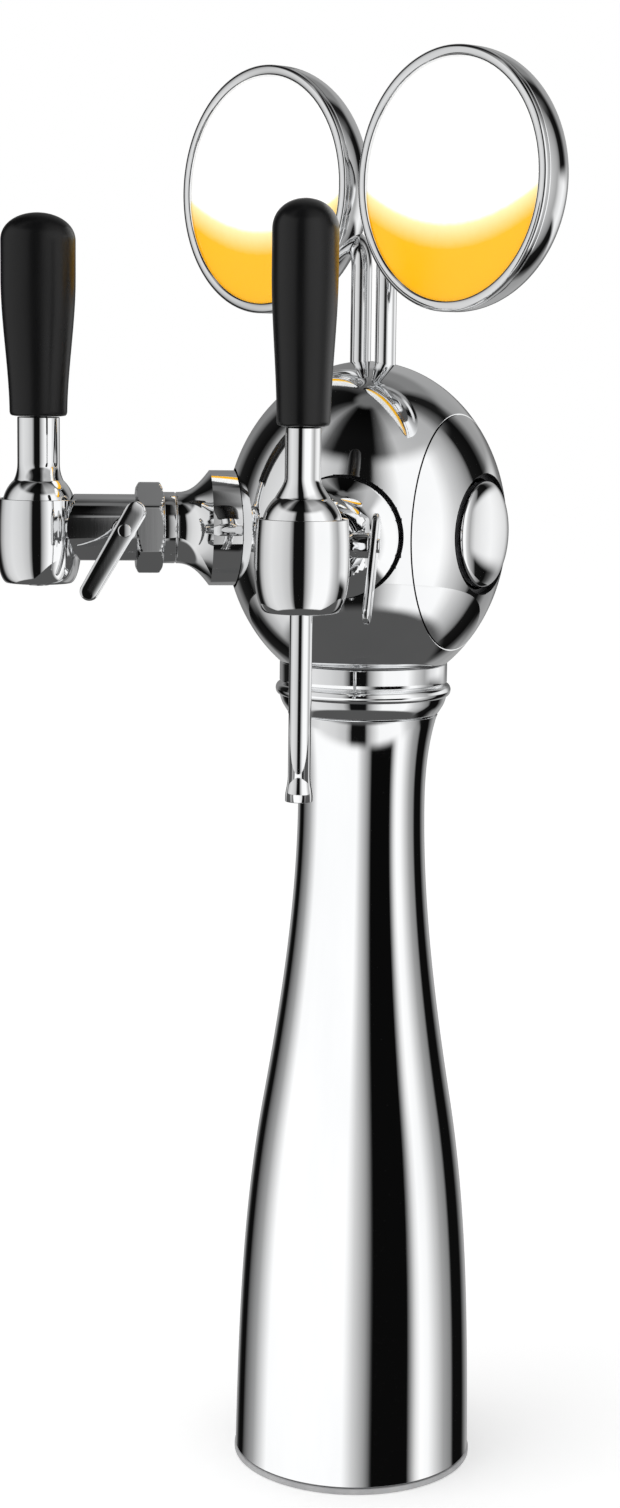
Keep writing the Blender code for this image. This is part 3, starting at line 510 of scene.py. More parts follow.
def makeHead():
    over = head["over"]
    egg = eggBlank("headEgg", low=-head["footDrop"])
    cutWith(egg, eggBlank("hollow", head["wall"], head["floor"] - head["footDrop"],
        head["half"] - head["crown"], 96, 40))
    cutWith(egg, plug("footBore", head["bore"], -head["footDrop"] - over,
        -head["footDrop"] + head["floor"] + over, placeFrame(), 2))
    for name, side in sideSigns:
        origin, axes = placeFrame()
        cutWith(egg, plug("stalkHole", 0.0053, head["half"] - head["crown"] - over, head["half"] + over,
            (origin + [side * 0.0085, 0.003, 0], axes), 2, 40))
        openPort(egg, placeFrame(side, tower["portTurn"]), head["shankHole"])
    reach = head["half"] + over
    for name, side in sideSigns:
        place = placeFrame(side, tower["coverTurn"])
        cutWith(egg, boxPiece("beyondSeam", (head["seam"] - head["seamGap"], -reach, -reach),
            (reach, reach, reach), place))
        cover = eggBlank("headCover_" + name)
        cutWith(cover, boxPiece("keepCover", (head["seam"], -reach, -reach), (reach, reach, reach), place),
            "INTERSECT")
        cutWith(cover, eggBlank("hollow", head["wall"], head["floor"] - head["footDrop"],
            head["half"] - head["crown"], 96, 40))
        openPort(cover, place, head["stemHole"])
        dressPiece(cover, looks["head"], "tower", "head_cover_" + name)
        paintRecessShade(cover, [place])
        makeCap(name, place)
    dressPiece(egg, looks["head"], "tower", "head_casting")
    paintRecessShade(egg, [placeFrame(side, tower["portTurn"]) for name, side in sideSigns])


def makeCap(name, place):
    seat = tower["portFloor"] + tower["gap"]
    rim = seat + cap["edge"]
    crown = circleOutline(cap["radius"], cap["height"] - cap["edge"], math.pi / 2, 0, 40) + [0, rim]
    lower = softened([(0, seat - cap["stemLength"]), (cap["stem"], seat - cap["stemLength"]),
        (cap["stem"], seat), (cap["radius"], seat), (cap["radius"], rim)], [0, .0008, .0003, .0005, 0], 4)
    outline = np.vstack([lower, crown[1:]])
    outline[-1, 0] = 0
    turnedPiece("sideCapDome_" + name, outline, place, looks["head"], "tower", along=0, sides=144,
        slotName="head", nodes=("side_cap_" + name,))


makeHead()
print("head, covers and caps done")

# Shanks
shank = {"flangeRadius": 0.0275, "straight": 0.0155, "end": 0.092, "bore": 0.0083, "sleeveRadius": 0.017,
    "sleeveLength": 0.0058, "nutCorner": 0.022, "nutLength": 0.0125, "lip": 0.0018, "nutBore": 0.0161}


def hexNut(name, start, end, place, look, **more):
    # Hexagon nut: radius = least of the flat-sided hexagon and of a cone at each end; the bore is a smaller
    # ring of the same grid
    sides, corner = 192, shank["nutCorner"]
    angle = np.linspace(0, math.tau, sides, endpoint=False)
    flat = corner * math.cos(math.pi / 6)
    hexagonal = flat / np.cos(((angle + math.pi / 6) % (math.pi / 3)) - math.pi / 6)
    hexagonal = np.minimum(hexagonal, corner * 0.985)
    depth = np.array([0, .02, .05, .09, .14, .2, .3, .5, .7, .8, .86, .91, .95, .98, 1.0])
    length = end - start
    cone = flat + 0.0002 + np.minimum(depth, 1 - depth) * length * 1.9
    radius = np.minimum(hexagonal[None, :], cone[:, None])
    bore, mouth = shank["bore"], shank["nutBore"]
    rows = [(bore, start + shank["lip"]), (bore, start + 0.0003), (bore + 0.0004, start)]
    radii = np.vstack([np.full((3, sides), [[row[0]] for row in rows]), radius,
        np.full((3, sides), [[mouth + 0.0004], [mouth], [mouth]])])
    places = np.concatenate([[row[1] for row in rows], start + depth * length,
        [end, end - 0.0004, start + shank["lip"]]])
    origin, axes = place
    spokes = np.cos(angle)[:, None] * axes[1] + np.sin(angle)[:, None] * axes[2]
    points = origin + places[:, None, None] * axes[0] + radii[..., None] * spokes[None]
    index = np.arange(len(places) * sides).reshape(len(places), sides)
    return putMesh(name, points.reshape(-1, 3), gridFaces(np.vstack([index, index[:1]])), look, "tower",
        sharp=24, **more)


def makeShank(name, side):
    place = placeFrame(side, tower["portTurn"])
    start = tower["portFloor"] + tower["gap"]
    flareStart = start + shank["straight"]
    share = np.linspace(0, 1, 41)
    flare = np.column_stack([shank["sleeveRadius"] + (shank["flangeRadius"] - shank["sleeveRadius"])
        * (1 - np.sin(share * math.pi / 2)) ** 1.3, flareStart + (shank["end"] - flareStart) * share])
    flare[-1] -= [0.0004, 0]
    lower = softened([(shank["bore"], start), (shank["flangeRadius"], start),
        (shank["flangeRadius"], flareStart)], [0, 0.0006, 0], 4)
    outline = np.vstack([lower, flare[1:], [(shank["bore"], shank["end"])]])
    turnedPiece("flaredFlange_" + name, outline, place, looks["tap"], "tower", along=0, sides=144,
        slotName="tap_chrome", nodes=("shank_flange_" + name,))
    sleeve = shank["end"] + tower["gap"]
    ring = [(shank["bore"], sleeve), (shank["sleeveRadius"], sleeve),
        (shank["sleeveRadius"], sleeve + shank["sleeveLength"]),
        (shank["bore"], sleeve + shank["sleeveLength"])]
    outline = softened(ring + ring[:1], [0, .0005, .0005, .0002, 0], 4)[:-1]
    turnedPiece("shankSleeveRing_" + name, outline, place, looks["tap"], "tower", along=0, sides=128,
        slotName="tap_chrome", nodes=("shank_sleeve_" + name,))
    nutStart = sleeve + shank["sleeveLength"] + tower["gap"]
    hexNut("couplingHex_" + name, nutStart, nutStart + shank["nutLength"], place, looks["tap"],
        slotName="tap_chrome", nodes=("coupling_nut_" + name,))


# Taps
tapSizes = {"bodyRadius": 0.02045, "footRadius": 0.0150, "footDrop": 0.0265, "bellyDrop": 0.005,
    "rimRadius": 0.0196, "rim": 0.0135, "neckRadius": 0.0158, "neckStart": -0.0522, "socket": 0.0180,
    "bossRadius": 0.0056, "bossReach": 0.0225, "spindle": 0.0395, "outletSeat": 0.0052, "outletBore": 0.0036,
    "outletDepth": 0.0073, "chamber": 0.008, "chamberEnd": -0.024, "throat": 0.005, "throatEnd": -0.01,
    "spindleHole": 0.0035, "over": 0.004}
lever = {"bell": 0.0173, "wall": 0.0022, "shoulder": math.radians(43), "rear": math.radians(111),
    "stemRise": 0.0425, "stemDeep": 0.010, "stemWide": 0.0076, "studRadius": 0.004, "studLength": 0.024,
    "tongue": 0.0023, "tongueDrop": 0.011, "sweepTop": 0.0215, "flatFrom": 0.0123, "topLand": 0.0085,
    "ceiling": math.radians(36)}
grip = {"height": 0.0945, "footDeep": 0.0136, "footWide": 0.0113, "deep": 0.0176, "wide": 0.0139,
    "widest": 0.68, "crown": 0.86}


def makeBody(name, side):
    place = placeFrame(side, tower["portTurn"], tower["tapReach"])
    foot, rim = -tapSizes["footDrop"], tapSizes["rim"]
    belly = circleOutline(tapSizes["bodyRadius"] - tapSizes["footRadius"],
        tapSizes["footDrop"] - tapSizes["bellyDrop"], math.pi, math.pi / 2, 24)
    belly += [tapSizes["footRadius"], -tapSizes["bellyDrop"]]
    rimSide = softened([tuple(belly[-1]), ((tapSizes["bodyRadius"] + tapSizes["rimRadius"]) / 2 + 0.0003,
        (rim - tapSizes["bellyDrop"]) / 2), (tapSizes["rimRadius"], rim),
        (tapSizes["rimRadius"] - 0.003, rim), (0, rim)], [0, 0.004, 0.0004, 0, 0], 5)
    outline = np.vstack([[(0, foot), (tapSizes["footRadius"] - 0.001, foot)], belly[2:-1], rimSide])
    body = turnedPiece("tapBarrel_" + name, outline, place, None, None, sides=144)
    neck = turnedPiece("neck", softened([(0, tapSizes["neckStart"]),
        (tapSizes["neckRadius"], tapSizes["neckStart"]), (tapSizes["neckRadius"], 0), (0, 0)],
        [0, .0006, 0, 0], 4), place, None, None, along=0, sides=128)
    cutWith(body, neck, "UNION")
    origin, axes = place
    bossPlace = (origin - axes[0] * tapSizes["spindle"], axes)
    boss = softened([(0, 0), (tapSizes["bossRadius"], 0), (tapSizes["bossRadius"], tapSizes["bossReach"]),
        (0, tapSizes["bossReach"])], [0, 0, .0005, 0], 4)
    cutWith(body, turnedPiece("boss", boss, bossPlace, None, None, along=1, sides=64), "UNION")
    ball = circleOutline(tapSizes["socket"], tapSizes["socket"], 0, math.pi, 64) + [0, tower["pivotRise"]]
    ball[[0, -1], 0] = 0
    cutWith(body, turnedPiece("socket", ball, place, None, None, sides=144))
    over, step = tapSizes["over"], foot + tapSizes["outletDepth"]
    wide, bore = tapSizes["outletSeat"], tapSizes["outletBore"]
    seat = [(0, foot - over), (wide, foot - over), (wide, step), (bore, step), (bore, 0), (0, 0)]
    cutWith(body, turnedPiece("outlet", seat, place, None, None, sides=48))
    start, wide, step = tapSizes["neckStart"] - over, tapSizes["chamber"], tapSizes["chamberEnd"]
    throat, end = tapSizes["throat"], tapSizes["throatEnd"]
    chamber = [(0, start), (wide, start), (wide, step), (throat, step), (throat, end), (0, end)]
    cutWith(body, turnedPiece("chamber", chamber, place, None, None, along=0, sides=48))
    cutWith(body, plug("spindleHole", tapSizes["spindleHole"], over, tapSizes["bossReach"] + over, bossPlace,
        1, 40))
    dressPiece(body, looks["tap"], "tower", "tap_body_" + name)


def makeLever(name, side):
    # Bell and stem as one turned skin: a ball below the shoulder, a hollow sweep above it, and a stem whose
    # depth and width differ
    place = placeFrame(side, tower["portTurn"], tower["tapReach"], tower["pivotRise"])
    bell = circleOutline(lever["bell"], lever["bell"], lever["rear"], lever["shoulder"], 40)
    shoulderRadius, shoulderRise = bell[-1]
    share = np.linspace(0, 1, 30)[1:]
    deep, sweepTop, top, stud = lever["stemDeep"], lever["sweepTop"], lever["stemRise"], lever["studRadius"]
    sweep = np.column_stack([deep + (shoulderRadius - deep) * (1 - share) ** 2.4,
        shoulderRise + (sweepTop - shoulderRise) * share])
    stem = softened([(deep, sweepTop), (deep, top), (lever["topLand"], top), (stud, top),
        (stud, top + lever["studLength"]), (0, top + lever["studLength"])], [0, .0006, 0, .0002, .0004, 0], 4)
    inner = lever["bell"] - lever["wall"]
    ceiling = lever["ceiling"]
    inside = circleOutline(inner, inner, ceiling, lever["rear"], 20)
    low = [(0, -lever["tongueDrop"]), (lever["tongue"], -lever["tongueDrop"]),
        (lever["tongue"], inner * math.cos(ceiling)), tuple(inside[0])]
    outline = np.vstack([softened(low, [0, .0006, .0003, 0], 4)[:-1], inside, bell, sweep, stem[1:]])
    points, index = turnedGrid(outline, (np.zeros(3), np.eye(3)), 2, 128)
    height, radius = points[:, 2], np.hypot(points[:, 0], points[:, 1])
    above = np.clip((height - shoulderRise) / (sweepTop - shoulderRise), 0,
        1) * (radius > stud + 0.0002) * (height > lever["flatFrom"])
    blend = above * above * (3 - 2 * above)
    points[:, 1] *= 1 - blend * (1 - lever["stemWide"] / deep)
    origin, axes = place
    putMesh("leverBell_" + name, origin + points @ axes, gridFaces(index), looks["tap"], "tap_lever_" + name,
        slotName="tap_chrome", nodes=("tap_lever_" + name,))


def makeGrip(name, side):
    # Oval rings: half widths ease from the foot to the widest place, and a power curve closes the crown
    place = placeFrame(side, tower["portTurn"], tower["tapReach"],
        tower["pivotRise"] + lever["stemRise"] + tower["gap"])
    share = np.concatenate([np.linspace(0, grip["crown"], 60),
        grip["crown"] + (1 - grip["crown"]) * np.sin(np.linspace(0, math.pi / 2, 32))[1:]])
    rise = np.minimum(share / grip["widest"], 1)
    swell = rise * rise * (3 - 2 * rise)
    edge = np.where(share > grip["crown"], np.sqrt(np.clip(1 - (np.clip(share - grip["crown"], 0,
        1) / (1 - grip["crown"])) ** 2.2, 0, 1)), 1.0)
    deep = (grip["footDeep"] + (grip["deep"] - grip["footDeep"]) * swell) * edge
    wide = (grip["footWide"] + (grip["wide"] - grip["footWide"]) * swell) * edge
    height = share * grip["height"]
    footRound = np.array([0.80, 0.93, 0.98, 1.0])
    footRise = np.array([0.0, 0.0003, 0.0009, 0.002])
    deep = np.concatenate([deep[0] * footRound, deep[2:]])
    wide = np.concatenate([wide[0] * footRound, wide[2:]])
    height = np.concatenate([footRise, height[2:]])
    socket = np.array([[0.0, lever["studLength"] + 0.0003], [0.0043, lever["studLength"] + 0.0003],
        [0.0043, 0.0004], [0.0048, 0.0]])
    deep = np.concatenate([socket[:, 0], deep])
    wide = np.concatenate([socket[:, 0], wide])
    height = np.concatenate([socket[:, 1], height])
    deep[-1] = wide[-1] = 0
    angle = np.linspace(0, math.tau, 96, endpoint=False)
    local = np.stack([deep[:, None] * np.cos(angle), wide[:, None] * np.sin(angle),
        np.repeat(height[:, None], 96, axis=1)], axis=-1)
    index = np.arange(len(height) * 96).reshape(len(height), 96)
    index[0], index[-1] = index[0, 0], index[-1, 0]
    origin, axes = place
    putMesh("gripOval_" + name, origin + local.reshape(-1, 3) @ axes, gridFaces(index), looks["grip"],
        "tap_lever_" + name, slotName="grip_black", nodes=("tap_handle_" + name,))


paddle = {"long": 0.033, "short": 0.010, "halfWide": 0.0052, "tipHalf": 0.0044, "thick": 0.0032,
    "rest": math.radians(30), "face": 0.0228, "spindle": 0.0032, "inner": 0.0083, "crank": 0.0009,
    "crankDrop": 0.002, "crankReach": 0.0056}


def makePaddle(name, side):
    # Flow lever: rounded-rectangle rings along its length, drawn in at both round ends, joined to its spindle
    origin, axes = placeFrame(side, tower["portTurn"], tower["tapReach"] - tapSizes["spindle"])
    low, high = -paddle["long"] - paddle["tipHalf"], paddle["short"] + paddle["halfWide"]
    share = (1 - np.cos(np.linspace(0, math.pi, 61))) / 2
    along = low + (high - low) * share
    body = paddle["tipHalf"] + (paddle["halfWide"] - paddle["tipHalf"]) * share
    ends = np.where(along < -paddle["long"], np.sqrt(np.clip(1 - ((along
        + paddle["long"]) / paddle["tipHalf"]) ** 2, 0, 1)), np.where(along > paddle["short"],
        np.sqrt(np.clip(1 - ((along - paddle["short"]) / paddle["halfWide"]) ** 2, 0, 1)), 1.0))
    angle = np.linspace(0, math.tau, 48, endpoint=False)
    boxy = (np.abs(np.cos(angle)) ** 5 + np.abs(np.sin(angle)) ** 5) ** (-1 / 5)
    across = body[:, None] * ends[:, None] * (boxy * np.cos(angle))[None]
    thick = paddle["thick"] / 2 * np.sqrt(np.clip(ends, 0.0, 1))[:, None] * (boxy * np.sin(angle))[None]
    local = np.stack([across, paddle["face"] + paddle["thick"] / 2 + thick,
        np.repeat(along[:, None], 48, axis=1)], axis=-1)
    turn = paddle["rest"]
    turned = local.copy()
    turned[..., 0] = local[..., 0] * math.cos(turn) - local[..., 2] * math.sin(turn)
    turned[..., 2] = local[..., 0] * math.sin(turn) + local[..., 2] * math.cos(turn)
    index = np.arange(61 * 48).reshape(61, 48)
    index[0], index[-1] = index[0, 0], index[-1, 0]
    plate = putMesh("flowPaddle_" + name, origin + turned.reshape(-1, 3) @ axes, gridFaces(index), None, None)
    outer = paddle["face"] + paddle["thick"]
    pin = softened([(0, paddle["inner"]), (paddle["spindle"], paddle["inner"]),
        (paddle["spindle"], outer + 0.0009), (0, outer + 0.0011)], [0, .0003, .0005, 0], 4)
    cutWith(plate, turnedPiece("spindle", pin, (origin, axes), None, None, along=1, sides=48), "UNION")
    crank = plug("crank", paddle["crank"], paddle["crankReach"], paddle["face"] - 0.0032,
        (origin - axes[2] * paddle["crankDrop"], axes), 1, 24)
    cutWith(plate, crank, "UNION")
    dressPiece(plate, looks["tap"], "compensator_lever_" + name, "compensator_lever_" + name)


spout = {"radius": 0.0049, "wall": 0.001, "length": 0.0815, "nozzle": 0.006, "nozzleLength": 0.009,
    "seat": 0.007, "ringDrop": 0.0012}


def makeOutlets():
    place = placeFrame(1, tower["portTurn"], tower["tapReach"])
    top, end = -tapSizes["footDrop"] + spout["seat"], -tapSizes["footDrop"] - spout["length"]
    bore, mouth, flare = spout["radius"] - spout["wall"], spout["nozzle"] - spout["wall"], spout["nozzleLength"]
    ring = [(bore, top), (spout["radius"], top), (spout["radius"], end + flare),
        (spout["nozzle"], end + flare / 3), (spout["nozzle"], end), (mouth, end), (mouth, end + flare / 3),
        (bore, end + flare)]
    outline = softened(ring + ring[:1], [0, .0002, .003, .002, .0003, .0003, .002, .003, 0], 6)[:-1]
    turnedPiece("pourSpout", outline, place, looks["tap"], "tower", sides=64, slotName="tap_chrome",
        nodes=("spout_right",))
    low = -tapSizes["footDrop"] - spout["ringDrop"]
    ring = [(bore, top), (spout["radius"], top), (spout["radius"], low), (bore, low)]
    outline = softened(ring + ring[:1], [0, .0002, .0004, .0003, 0], 4)[:-1]
    turnedPiece("outletRing", outline, placeFrame(-1, tower["portTurn"], tower["tapReach"]), looks["tap"],
        "tower", sides=64, slotName="tap_chrome", nodes=("outlet_ring_left",))


for name, side in sideSigns:
    makeShank(name, side)
    makeBody(name, side)
    makeLever(name, side)
    makeGrip(name, side)
    makePaddle(name, side)
makeOutlets()
print("taps, grips and outlets done")

# Stalks and medallions
stalk = {"radius": 0.005, "offset": 0.0085, "depth": 0.003, "straight": 0.044, "bend": 0.017, "tail": 0.012,
    "root": 0.0075}
medallion = {"offset": 0.0635, "rise": 0.162, "front": 0.0135, "radius": 0.0594, "rim": 0.004, "dome": 0.034,
    "wall": 0.002, "bezel": 0.0016, "skirt": 0.003, "opening": 0.0543, "face": 0.0566, "faceThick": 0.0025,
    "board": 0.0537, "ledge": 0.004, "ledgeWide": 0.0034}


def stalkPath(side):
    surface = head["half"] * math.sqrt(1 - (stalk["offset"] / head["radius"]) ** 2)
    x, y = side * stalk["offset"], stalk["depth"]
    low = np.array([x, y, head["half"] - head["crown"] - stalk["root"]])
    turn = np.array([x, y, surface + stalk["straight"]])
    bendEnd = np.array([x + side * stalk["bend"], y + stalk["radius"], turn[2] + stalk["bend"]])
    tail = bendEnd + [side * stalk["tail"], stalk["radius"] / 2, stalk["radius"] / 2]
    reach = stalk["bend"] * 0.6
    drift = (tail - bendEnd) / np.linalg.norm(tail - bendEnd) * reach
    rise = np.linspace(low, turn, 24)
    bend = bezierPath(turn, turn + [0, 0, reach], bendEnd - drift, bendEnd, 24)
    return np.vstack([rise, bend[1:], np.linspace(bendEnd, tail, 8)[1:]]) + [0, 0, tower["headHeight"]]


def closedTube(name, path, radius, look, body, **more):
    # A tube with rounded-off flat ends, closed by a pole at each
    rings = tubeGrid(path, radius, 48)
    sides = rings.shape[1]
    points = np.vstack([path[:1], rings.reshape(-1, 3), path[-1:]])
    index = np.arange(len(path) * sides).reshape(len(path), sides) + 1
    index = np.vstack([np.zeros((1, sides), int), index, np.full((1, sides), len(points) - 1)])
    return putMesh(name, points, gridFaces(index), look, body, **more)


def makeMedallion(name, side):
    path = stalkPath(side)
    closedTube("stalkBar_" + name, path, stalk["radius"], looks["medallion"], "tower",
        slotName="medallion_chrome", nodes=("medallion_stalk_" + name,))
    origin = np.array([side * medallion["offset"], -medallion["front"],
        tower["headHeight"] + medallion["rise"]])
    place = (origin, np.eye(3))
    gap, radius = tower["gap"], medallion["radius"]
    shellFront = medallion["skirt"] + gap
    rimBack = shellFront + medallion["rim"]
    ledgeFront = medallion["bezel"] + medallion["faceThick"] + 2 * gap
    ledgeBack = ledgeFront + medallion["ledge"]
    inner = radius - medallion["wall"]
    dome = circleOutline(radius, medallion["dome"], 0, math.pi / 2, 64) + [0, rimBack]
    dome[0, 0] = 0
    depth = medallion["dome"] + rimBack - medallion["wall"] - ledgeBack - medallion["ledgeWide"]
    hollow = circleOutline(inner, depth, math.pi / 2, 0, 40) + [0, ledgeBack + medallion["ledgeWide"]]
    hollow[-1, 0] = 0
    front = softened([tuple(dome[-1]), (radius, shellFront), (inner, shellFront), (inner, ledgeFront),
        (medallion["board"] + gap, ledgeFront), (medallion["board"] + gap, ledgeBack), tuple(hollow[0])],
        [0, .0006, .0003, .0002, .0003, .0003, 0], 4)
    outline = np.vstack([dome, front[1:], hollow[1:]])
    shell = turnedPiece("lampShell_" + name, outline, place, None, None, along=1, sides=192)
    cutWith(shell, closedTube("stalkRoom", path, stalk["radius"] + gap, None, None))
    dressPiece(shell, looks["medallion"], "tower", "medallion_housing_" + name)
    edge, skirt = medallion["bezel"], medallion["face"] + gap
    crest = circleOutline((radius - medallion["opening"]) / 2, edge, -math.pi / 2, math.pi / 2, 24)
    crest = np.column_stack([crest[:, 0] + (radius + medallion["opening"]) / 2, edge - crest[:, 1]])
    outline = np.vstack([crest, [(radius, medallion["skirt"]), (skirt, medallion["skirt"]), (skirt, edge)]])
    turnedPiece("lampBezel_" + name, outline, place, looks["medallion"], "tower", along=1, sides=192,
        slotName="medallion_chrome", nodes=("medallion_bezel_" + name,))
    faceFront = edge + gap
    outline = softened([(0, faceFront), (medallion["face"], faceFront),
        (medallion["face"], faceFront + medallion["faceThick"]), (0, faceFront + medallion["faceThick"])],
        0.0003, 3)
    turnedPiece("lampFace_" + name, outline, place, faceMaterial("lampFaceArt_" + name,
        side * medallion["offset"]), "tower", along=1, sides=160, slotName="medallion_face",
        nodes=("medallion_face_" + name,))


for name, side in sideSigns:
    makeMedallion(name, side)
print("stalks and medallions done")

# Camera
view = {"azimuth": math.radians(45.849), "distance": 1.2678, "height": 0.5448, "yaw": math.radians(1.1495),
    "pitch": math.radians(8.4893), "roll": math.radians(0.7328), "focal": 2620.2 / 1508 * 36}


def makeCamera():
    # Looks along a heading turned by yaw, lowered by pitch and rolled about the line of sight
    heading = view["azimuth"] + view["yaw"]
    look = np.array([-math.sin(heading) * math.cos(view["pitch"]),
        math.cos(heading) * math.cos(view["pitch"]), -math.sin(view["pitch"])])
    right = np.cross(look, [0, 0, 1])
    right /= np.linalg.norm(right)
    up = np.cross(right, look)
    rolledRight = right * math.cos(view["roll"]) + up * math.sin(view["roll"])
    rolledUp = up * math.cos(view["roll"]) - right * math.sin(view["roll"])
    camera = bpy.data.objects.new("viewCamera", bpy.data.cameras.new("viewCamera"))
    bpy.context.scene.collection.objects.link(camera)
    spot = np.array([view["distance"] * math.sin(view["azimuth"]),
        -view["distance"] * math.cos(view["azimuth"]), view["height"]])
    matrix = np.eye(4)
    matrix[:3, 0], matrix[:3, 1], matrix[:3, 2], matrix[:3, 3] = rolledRight, rolledUp, -look, spot
    camera.matrix_world = Matrix(matrix.tolist())
    camera.data.sensor_width = 36
    camera.data.lens = view["focal"]
    camera.data.clip_start, camera.data.clip_end = 0.01, 60
    bpy.context.scene.camera = camera


# Studio
studio = {"turn": view["azimuth"], "soft": 0.82, "bright": 1.06, "tentRadius": 1.2, "tentFoot": -2.0,
    "tentTop": 2.2, "sleeveRadius": 0.2, "sleeveFoot": -0.35, "sleeveTop": 0.365, "under": 0.085,
    "zenith": 0.15}
# Panels that the mirror finishes see: (degrees round from the camera, brightness), by height
columnPanels = ((-180, .34), (-146, .30), (-138, .04), (-132, .004), (-122, .004), (-116, .12), (-100, .34),
    (-88, .72), (-80, 1.0), (-8, 1.0), (0, .62), (10, .30), (14.5, .10), (16, .003), (48, .003), (51, .22),
    (57, .75), (62, 1.0), (70, .95), (80, .62), (90, .34), (101, .22), (105, .004), (126, .004), (131, .10),
    (145, .36))
headPanels = ((-180, .20), (-150, .22), (-141, .10), (-136, .012), (-118, .004), (-112, .08), (-105, .38),
    (-92, .62), (-70, .74), (-45, .66), (-27, .52), (-20, .20), (-17, .005), (4, .005), (8, .28), (15, .55),
    (28, .95), (62, .98), (76, .62), (92, .36), (100, .20), (104, .008), (121, .004), (127, .07), (136, .30),
    (155, .36))
capPanels = ((92, .40), (104, .72), (122, .92), (140, .70), (152, .22), (165, .12))
roofPanels = ((-180, .25), (-150, .10), (-136, .01), (-95, .01), (-80, .10), (-62, .42), (-48, .10),
    (-36, .005), (8, .004), (20, .12), (35, .50), (90, .42), (105, .12), (118, .01), (128, .01), (140, .22))


def mirrorScreen(name, outline, paint):
    # A ring-shaped or domed screen that only mirror rays see; paint makes its emission from the angle round
    # the tower
    material = bpy.data.materials.new(name)
    material.use_nodes = True
    tree = material.node_tree
    tree.nodes.clear()
    add = nodeAdder(tree)

    def mathNode(operation, first, second, third=0.0):
        return add("ShaderNodeMath", {0: first, 1: second, 2: third}, operation=operation).outputs[0]

    def panels(stops):
        node = add("ShaderNodeValToRGB", {"Fac": share})
        elements = node.color_ramp.elements
        while len(elements) < len(stops):
            elements.new(0.5)
        for element, (degrees, level) in zip(elements, stops):
            element.position = (degrees + 180) / 360
            element.color = (level, level, level, 1)
        return node.outputs["Color"]

    def between(value, low, high):
        return add("ShaderNodeMapRange", {"Value": value, "From Min": low, "From Max": high},
            interpolation_type="SMOOTHSTEP").outputs["Result"]

    def blend(factor, first, second):
        return add("ShaderNodeMix", {0: factor, 6: first, 7: second}, data_type="RGBA").outputs[2]

    place = add("ShaderNodeTexCoord").outputs["Object"]
    turned = add("ShaderNodeMapping", {"Vector": place, "Rotation": (0, 0, -studio["turn"])})
    split = add("ShaderNodeSeparateXYZ", {0: turned.outputs[0]})
    angle = mathNode("ARCTAN2", split.outputs[0], mathNode("MULTIPLY", split.outputs[1], -1.0))
    share = mathNode("MULTIPLY_ADD", angle, 1 / math.tau, 0.5)
    reach = mathNode("SQRT", mathNode("ADD", mathNode("MULTIPLY", split.outputs[0], split.outputs[0]),
        mathNode("MULTIPLY", split.outputs[1], split.outputs[1])), 0.0)
    colour = paint(add, panels, between, blend, split.outputs[2], reach)
    glow = add("ShaderNodeEmission", {"Color": colour, "Strength": studio["bright"]})
    add("ShaderNodeOutputMaterial", {"Surface": glow.outputs[0]})
    material.cycles.emission_sampling = "NONE"
    points, index = turnedGrid(outline, worldFrame, 2, 96)
    screen = putMesh(name, points, gridFaces(index), material, None)
    screen.visible_camera = screen.visible_diffuse = screen.visible_shadow = screen.visible_transmission = False


def paintTent(add, panels, between, blend, height, reach):
    # Walls with the head's panels, a darker roof that greys towards the zenith, and a dark underside
    grey = (studio["under"],) * 3 + (1,)
    level = add("ShaderNodeMath", {0: between(height, 0.16, 0.30), 1: between(height, 0.62, 0.80)},
        operation="SUBTRACT").outputs[0]
    sides = blend(level, panels(headPanels), panels(headPanels[:20] + capPanels))
    walls = blend(between(height, -0.9, -0.7), grey, sides)
    fading = add("ShaderNodeMapRange", {"Value": reach, "From Min": 0.3, "From Max": 1.15, "To Min": 0.30,
        "To Max": 1.0}).outputs["Result"]
    roof = add("ShaderNodeVectorMath", {0: panels(roofPanels), "Scale": fading}, operation="SCALE").outputs[0]
    whole = blend(between(height, 1.35, 1.75), walls, roof)
    middle = add("ShaderNodeMath", {0: between(reach, 0.12, 0.30), 1: between(height, 2.0, 2.1)},
        operation="SUBTRACT").outputs[0]
    zenith = add("ShaderNodeMath", {0: middle, 1: -1.0}, operation="MULTIPLY", use_clamp=True).outputs[0]
    return blend(zenith, whole, (studio["zenith"],) * 3 + (1,))


def paintSleeve(add, panels, between, blend, height, reach):
    # The column's panels where a ray meets the sleeve squarely; steep rays, from the head's underside, see
    # light and then dark grey
    slant = add("ShaderNodeLayerWeight", {"Blend": 0.5}).outputs["Facing"]
    steep = blend(between(slant, 0.27, 0.36), panels(headPanels), (studio["under"],) * 3 + (1,))
    return blend(between(slant, 0.105, 0.15), panels(columnPanels), steep)


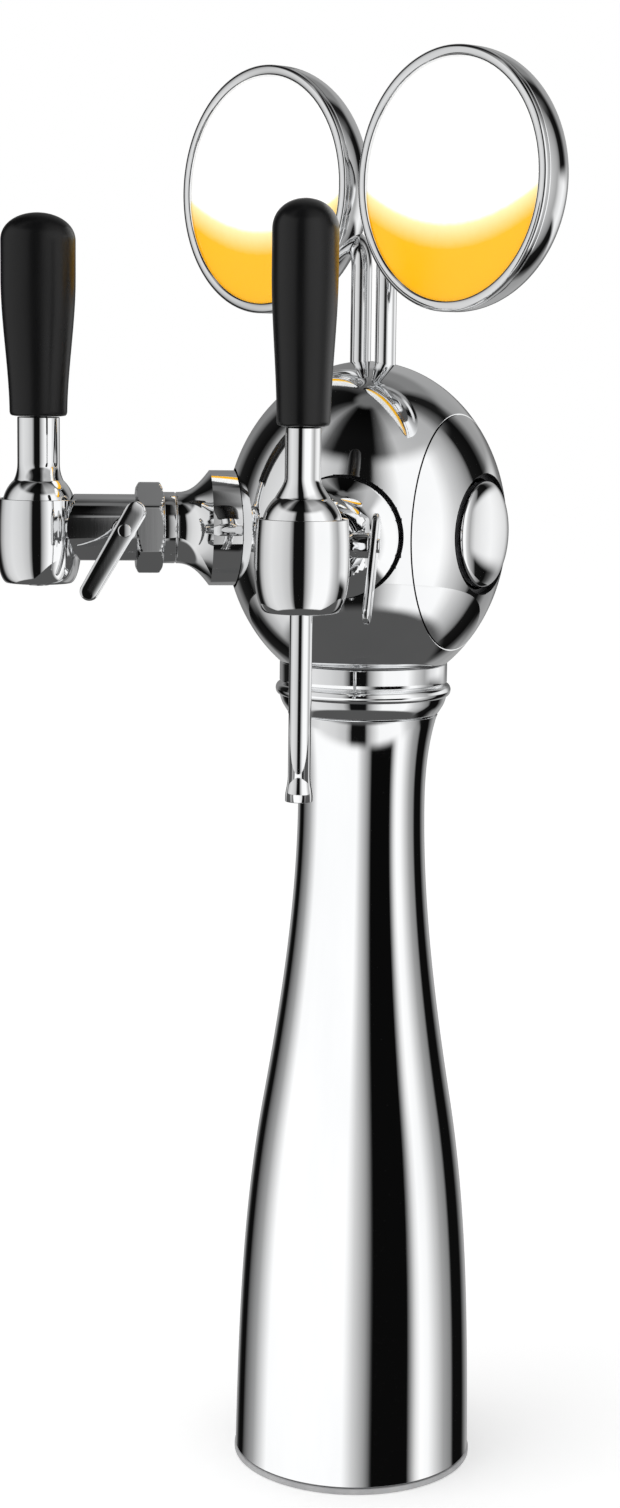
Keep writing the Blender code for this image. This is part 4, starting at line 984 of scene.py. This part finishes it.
def makeWorld():
    # Camera rays see white, everything else even soft light
    world = bpy.data.worlds.new("studio")
    bpy.context.scene.world = world
    world.use_nodes = True
    tree = world.node_tree
    tree.nodes.clear()
    shades = []
    for strength in (studio["soft"], 1.0):
        shade = tree.nodes.new("ShaderNodeBackground")
        shade.inputs["Color"].default_value = (1, 1, 1, 1)
        shade.inputs["Strength"].default_value = strength
        shades.append(shade)
    paths = tree.nodes.new("ShaderNodeLightPath")
    mixed = tree.nodes.new("ShaderNodeMixShader")
    output = tree.nodes.new("ShaderNodeOutputWorld")
    tree.links.new(paths.outputs["Is Camera Ray"], mixed.inputs[0])
    tree.links.new(shades[0].outputs[0], mixed.inputs[1])
    tree.links.new(shades[1].outputs[0], mixed.inputs[2])
    tree.links.new(mixed.outputs[0], output.inputs[0])


def makeStage():
    # A pale floor that keeps the shadow and stays out of the mirror finishes, the two mirror screens, and
    # one broad soft lamp
    mesh = bpy.data.meshes.new("stageFloor")
    mesh.from_pydata([(-6, -6, -0.0002), (6, -6, -0.0002), (6, 6, -0.0002), (-6, 6, -0.0002)], [],
        [(0, 1, 2, 3)])
    floor = bpy.data.objects.new("stageFloor", mesh)
    bpy.context.scene.collection.objects.link(floor)
    material, shader, place, add, link, noise, ramp, bump = nodeKit("paleFloor")
    shader.inputs["Base Color"].default_value = (0.95, 0.95, 0.95, 1)
    shader.inputs["Roughness"].default_value = 0.9
    shader.inputs["Specular IOR Level"].default_value = 0.0
    shader.inputs["Emission Color"].default_value = (1, 1, 1, 1)
    shader.inputs["Emission Strength"].default_value = 0.22
    mesh.materials.append(material)
    floor.visible_glossy = False
    radius, low, high = studio["tentRadius"], studio["tentFoot"], studio["tentTop"]
    mirrorScreen("mirrorTent", [(0, low), (radius, low), (radius, high), (0, high)], paintTent)
    mirrorScreen("mirrorSleeve", [(studio["sleeveRadius"], studio["sleeveFoot"]),
        (studio["sleeveRadius"], studio["sleeveTop"])], paintSleeve)
    lamp = bpy.data.lights.new("softLamp", "AREA")
    lamp.shape, lamp.size, lamp.size_y, lamp.energy = "RECTANGLE", 1.6, 1.6, 9
    lampObject = bpy.data.objects.new("softLamp", lamp)
    bpy.context.scene.collection.objects.link(lampObject)
    lampObject.location = (-0.3, -1.2, 2.0)
    lampObject.rotation_euler = (math.radians(32), 0, math.radians(-14))
    lampObject.visible_glossy = False


makeCamera()
makeWorld()
makeStage()
bpy.context.scene.view_settings.view_transform = "Standard"
print("camera and studio done")
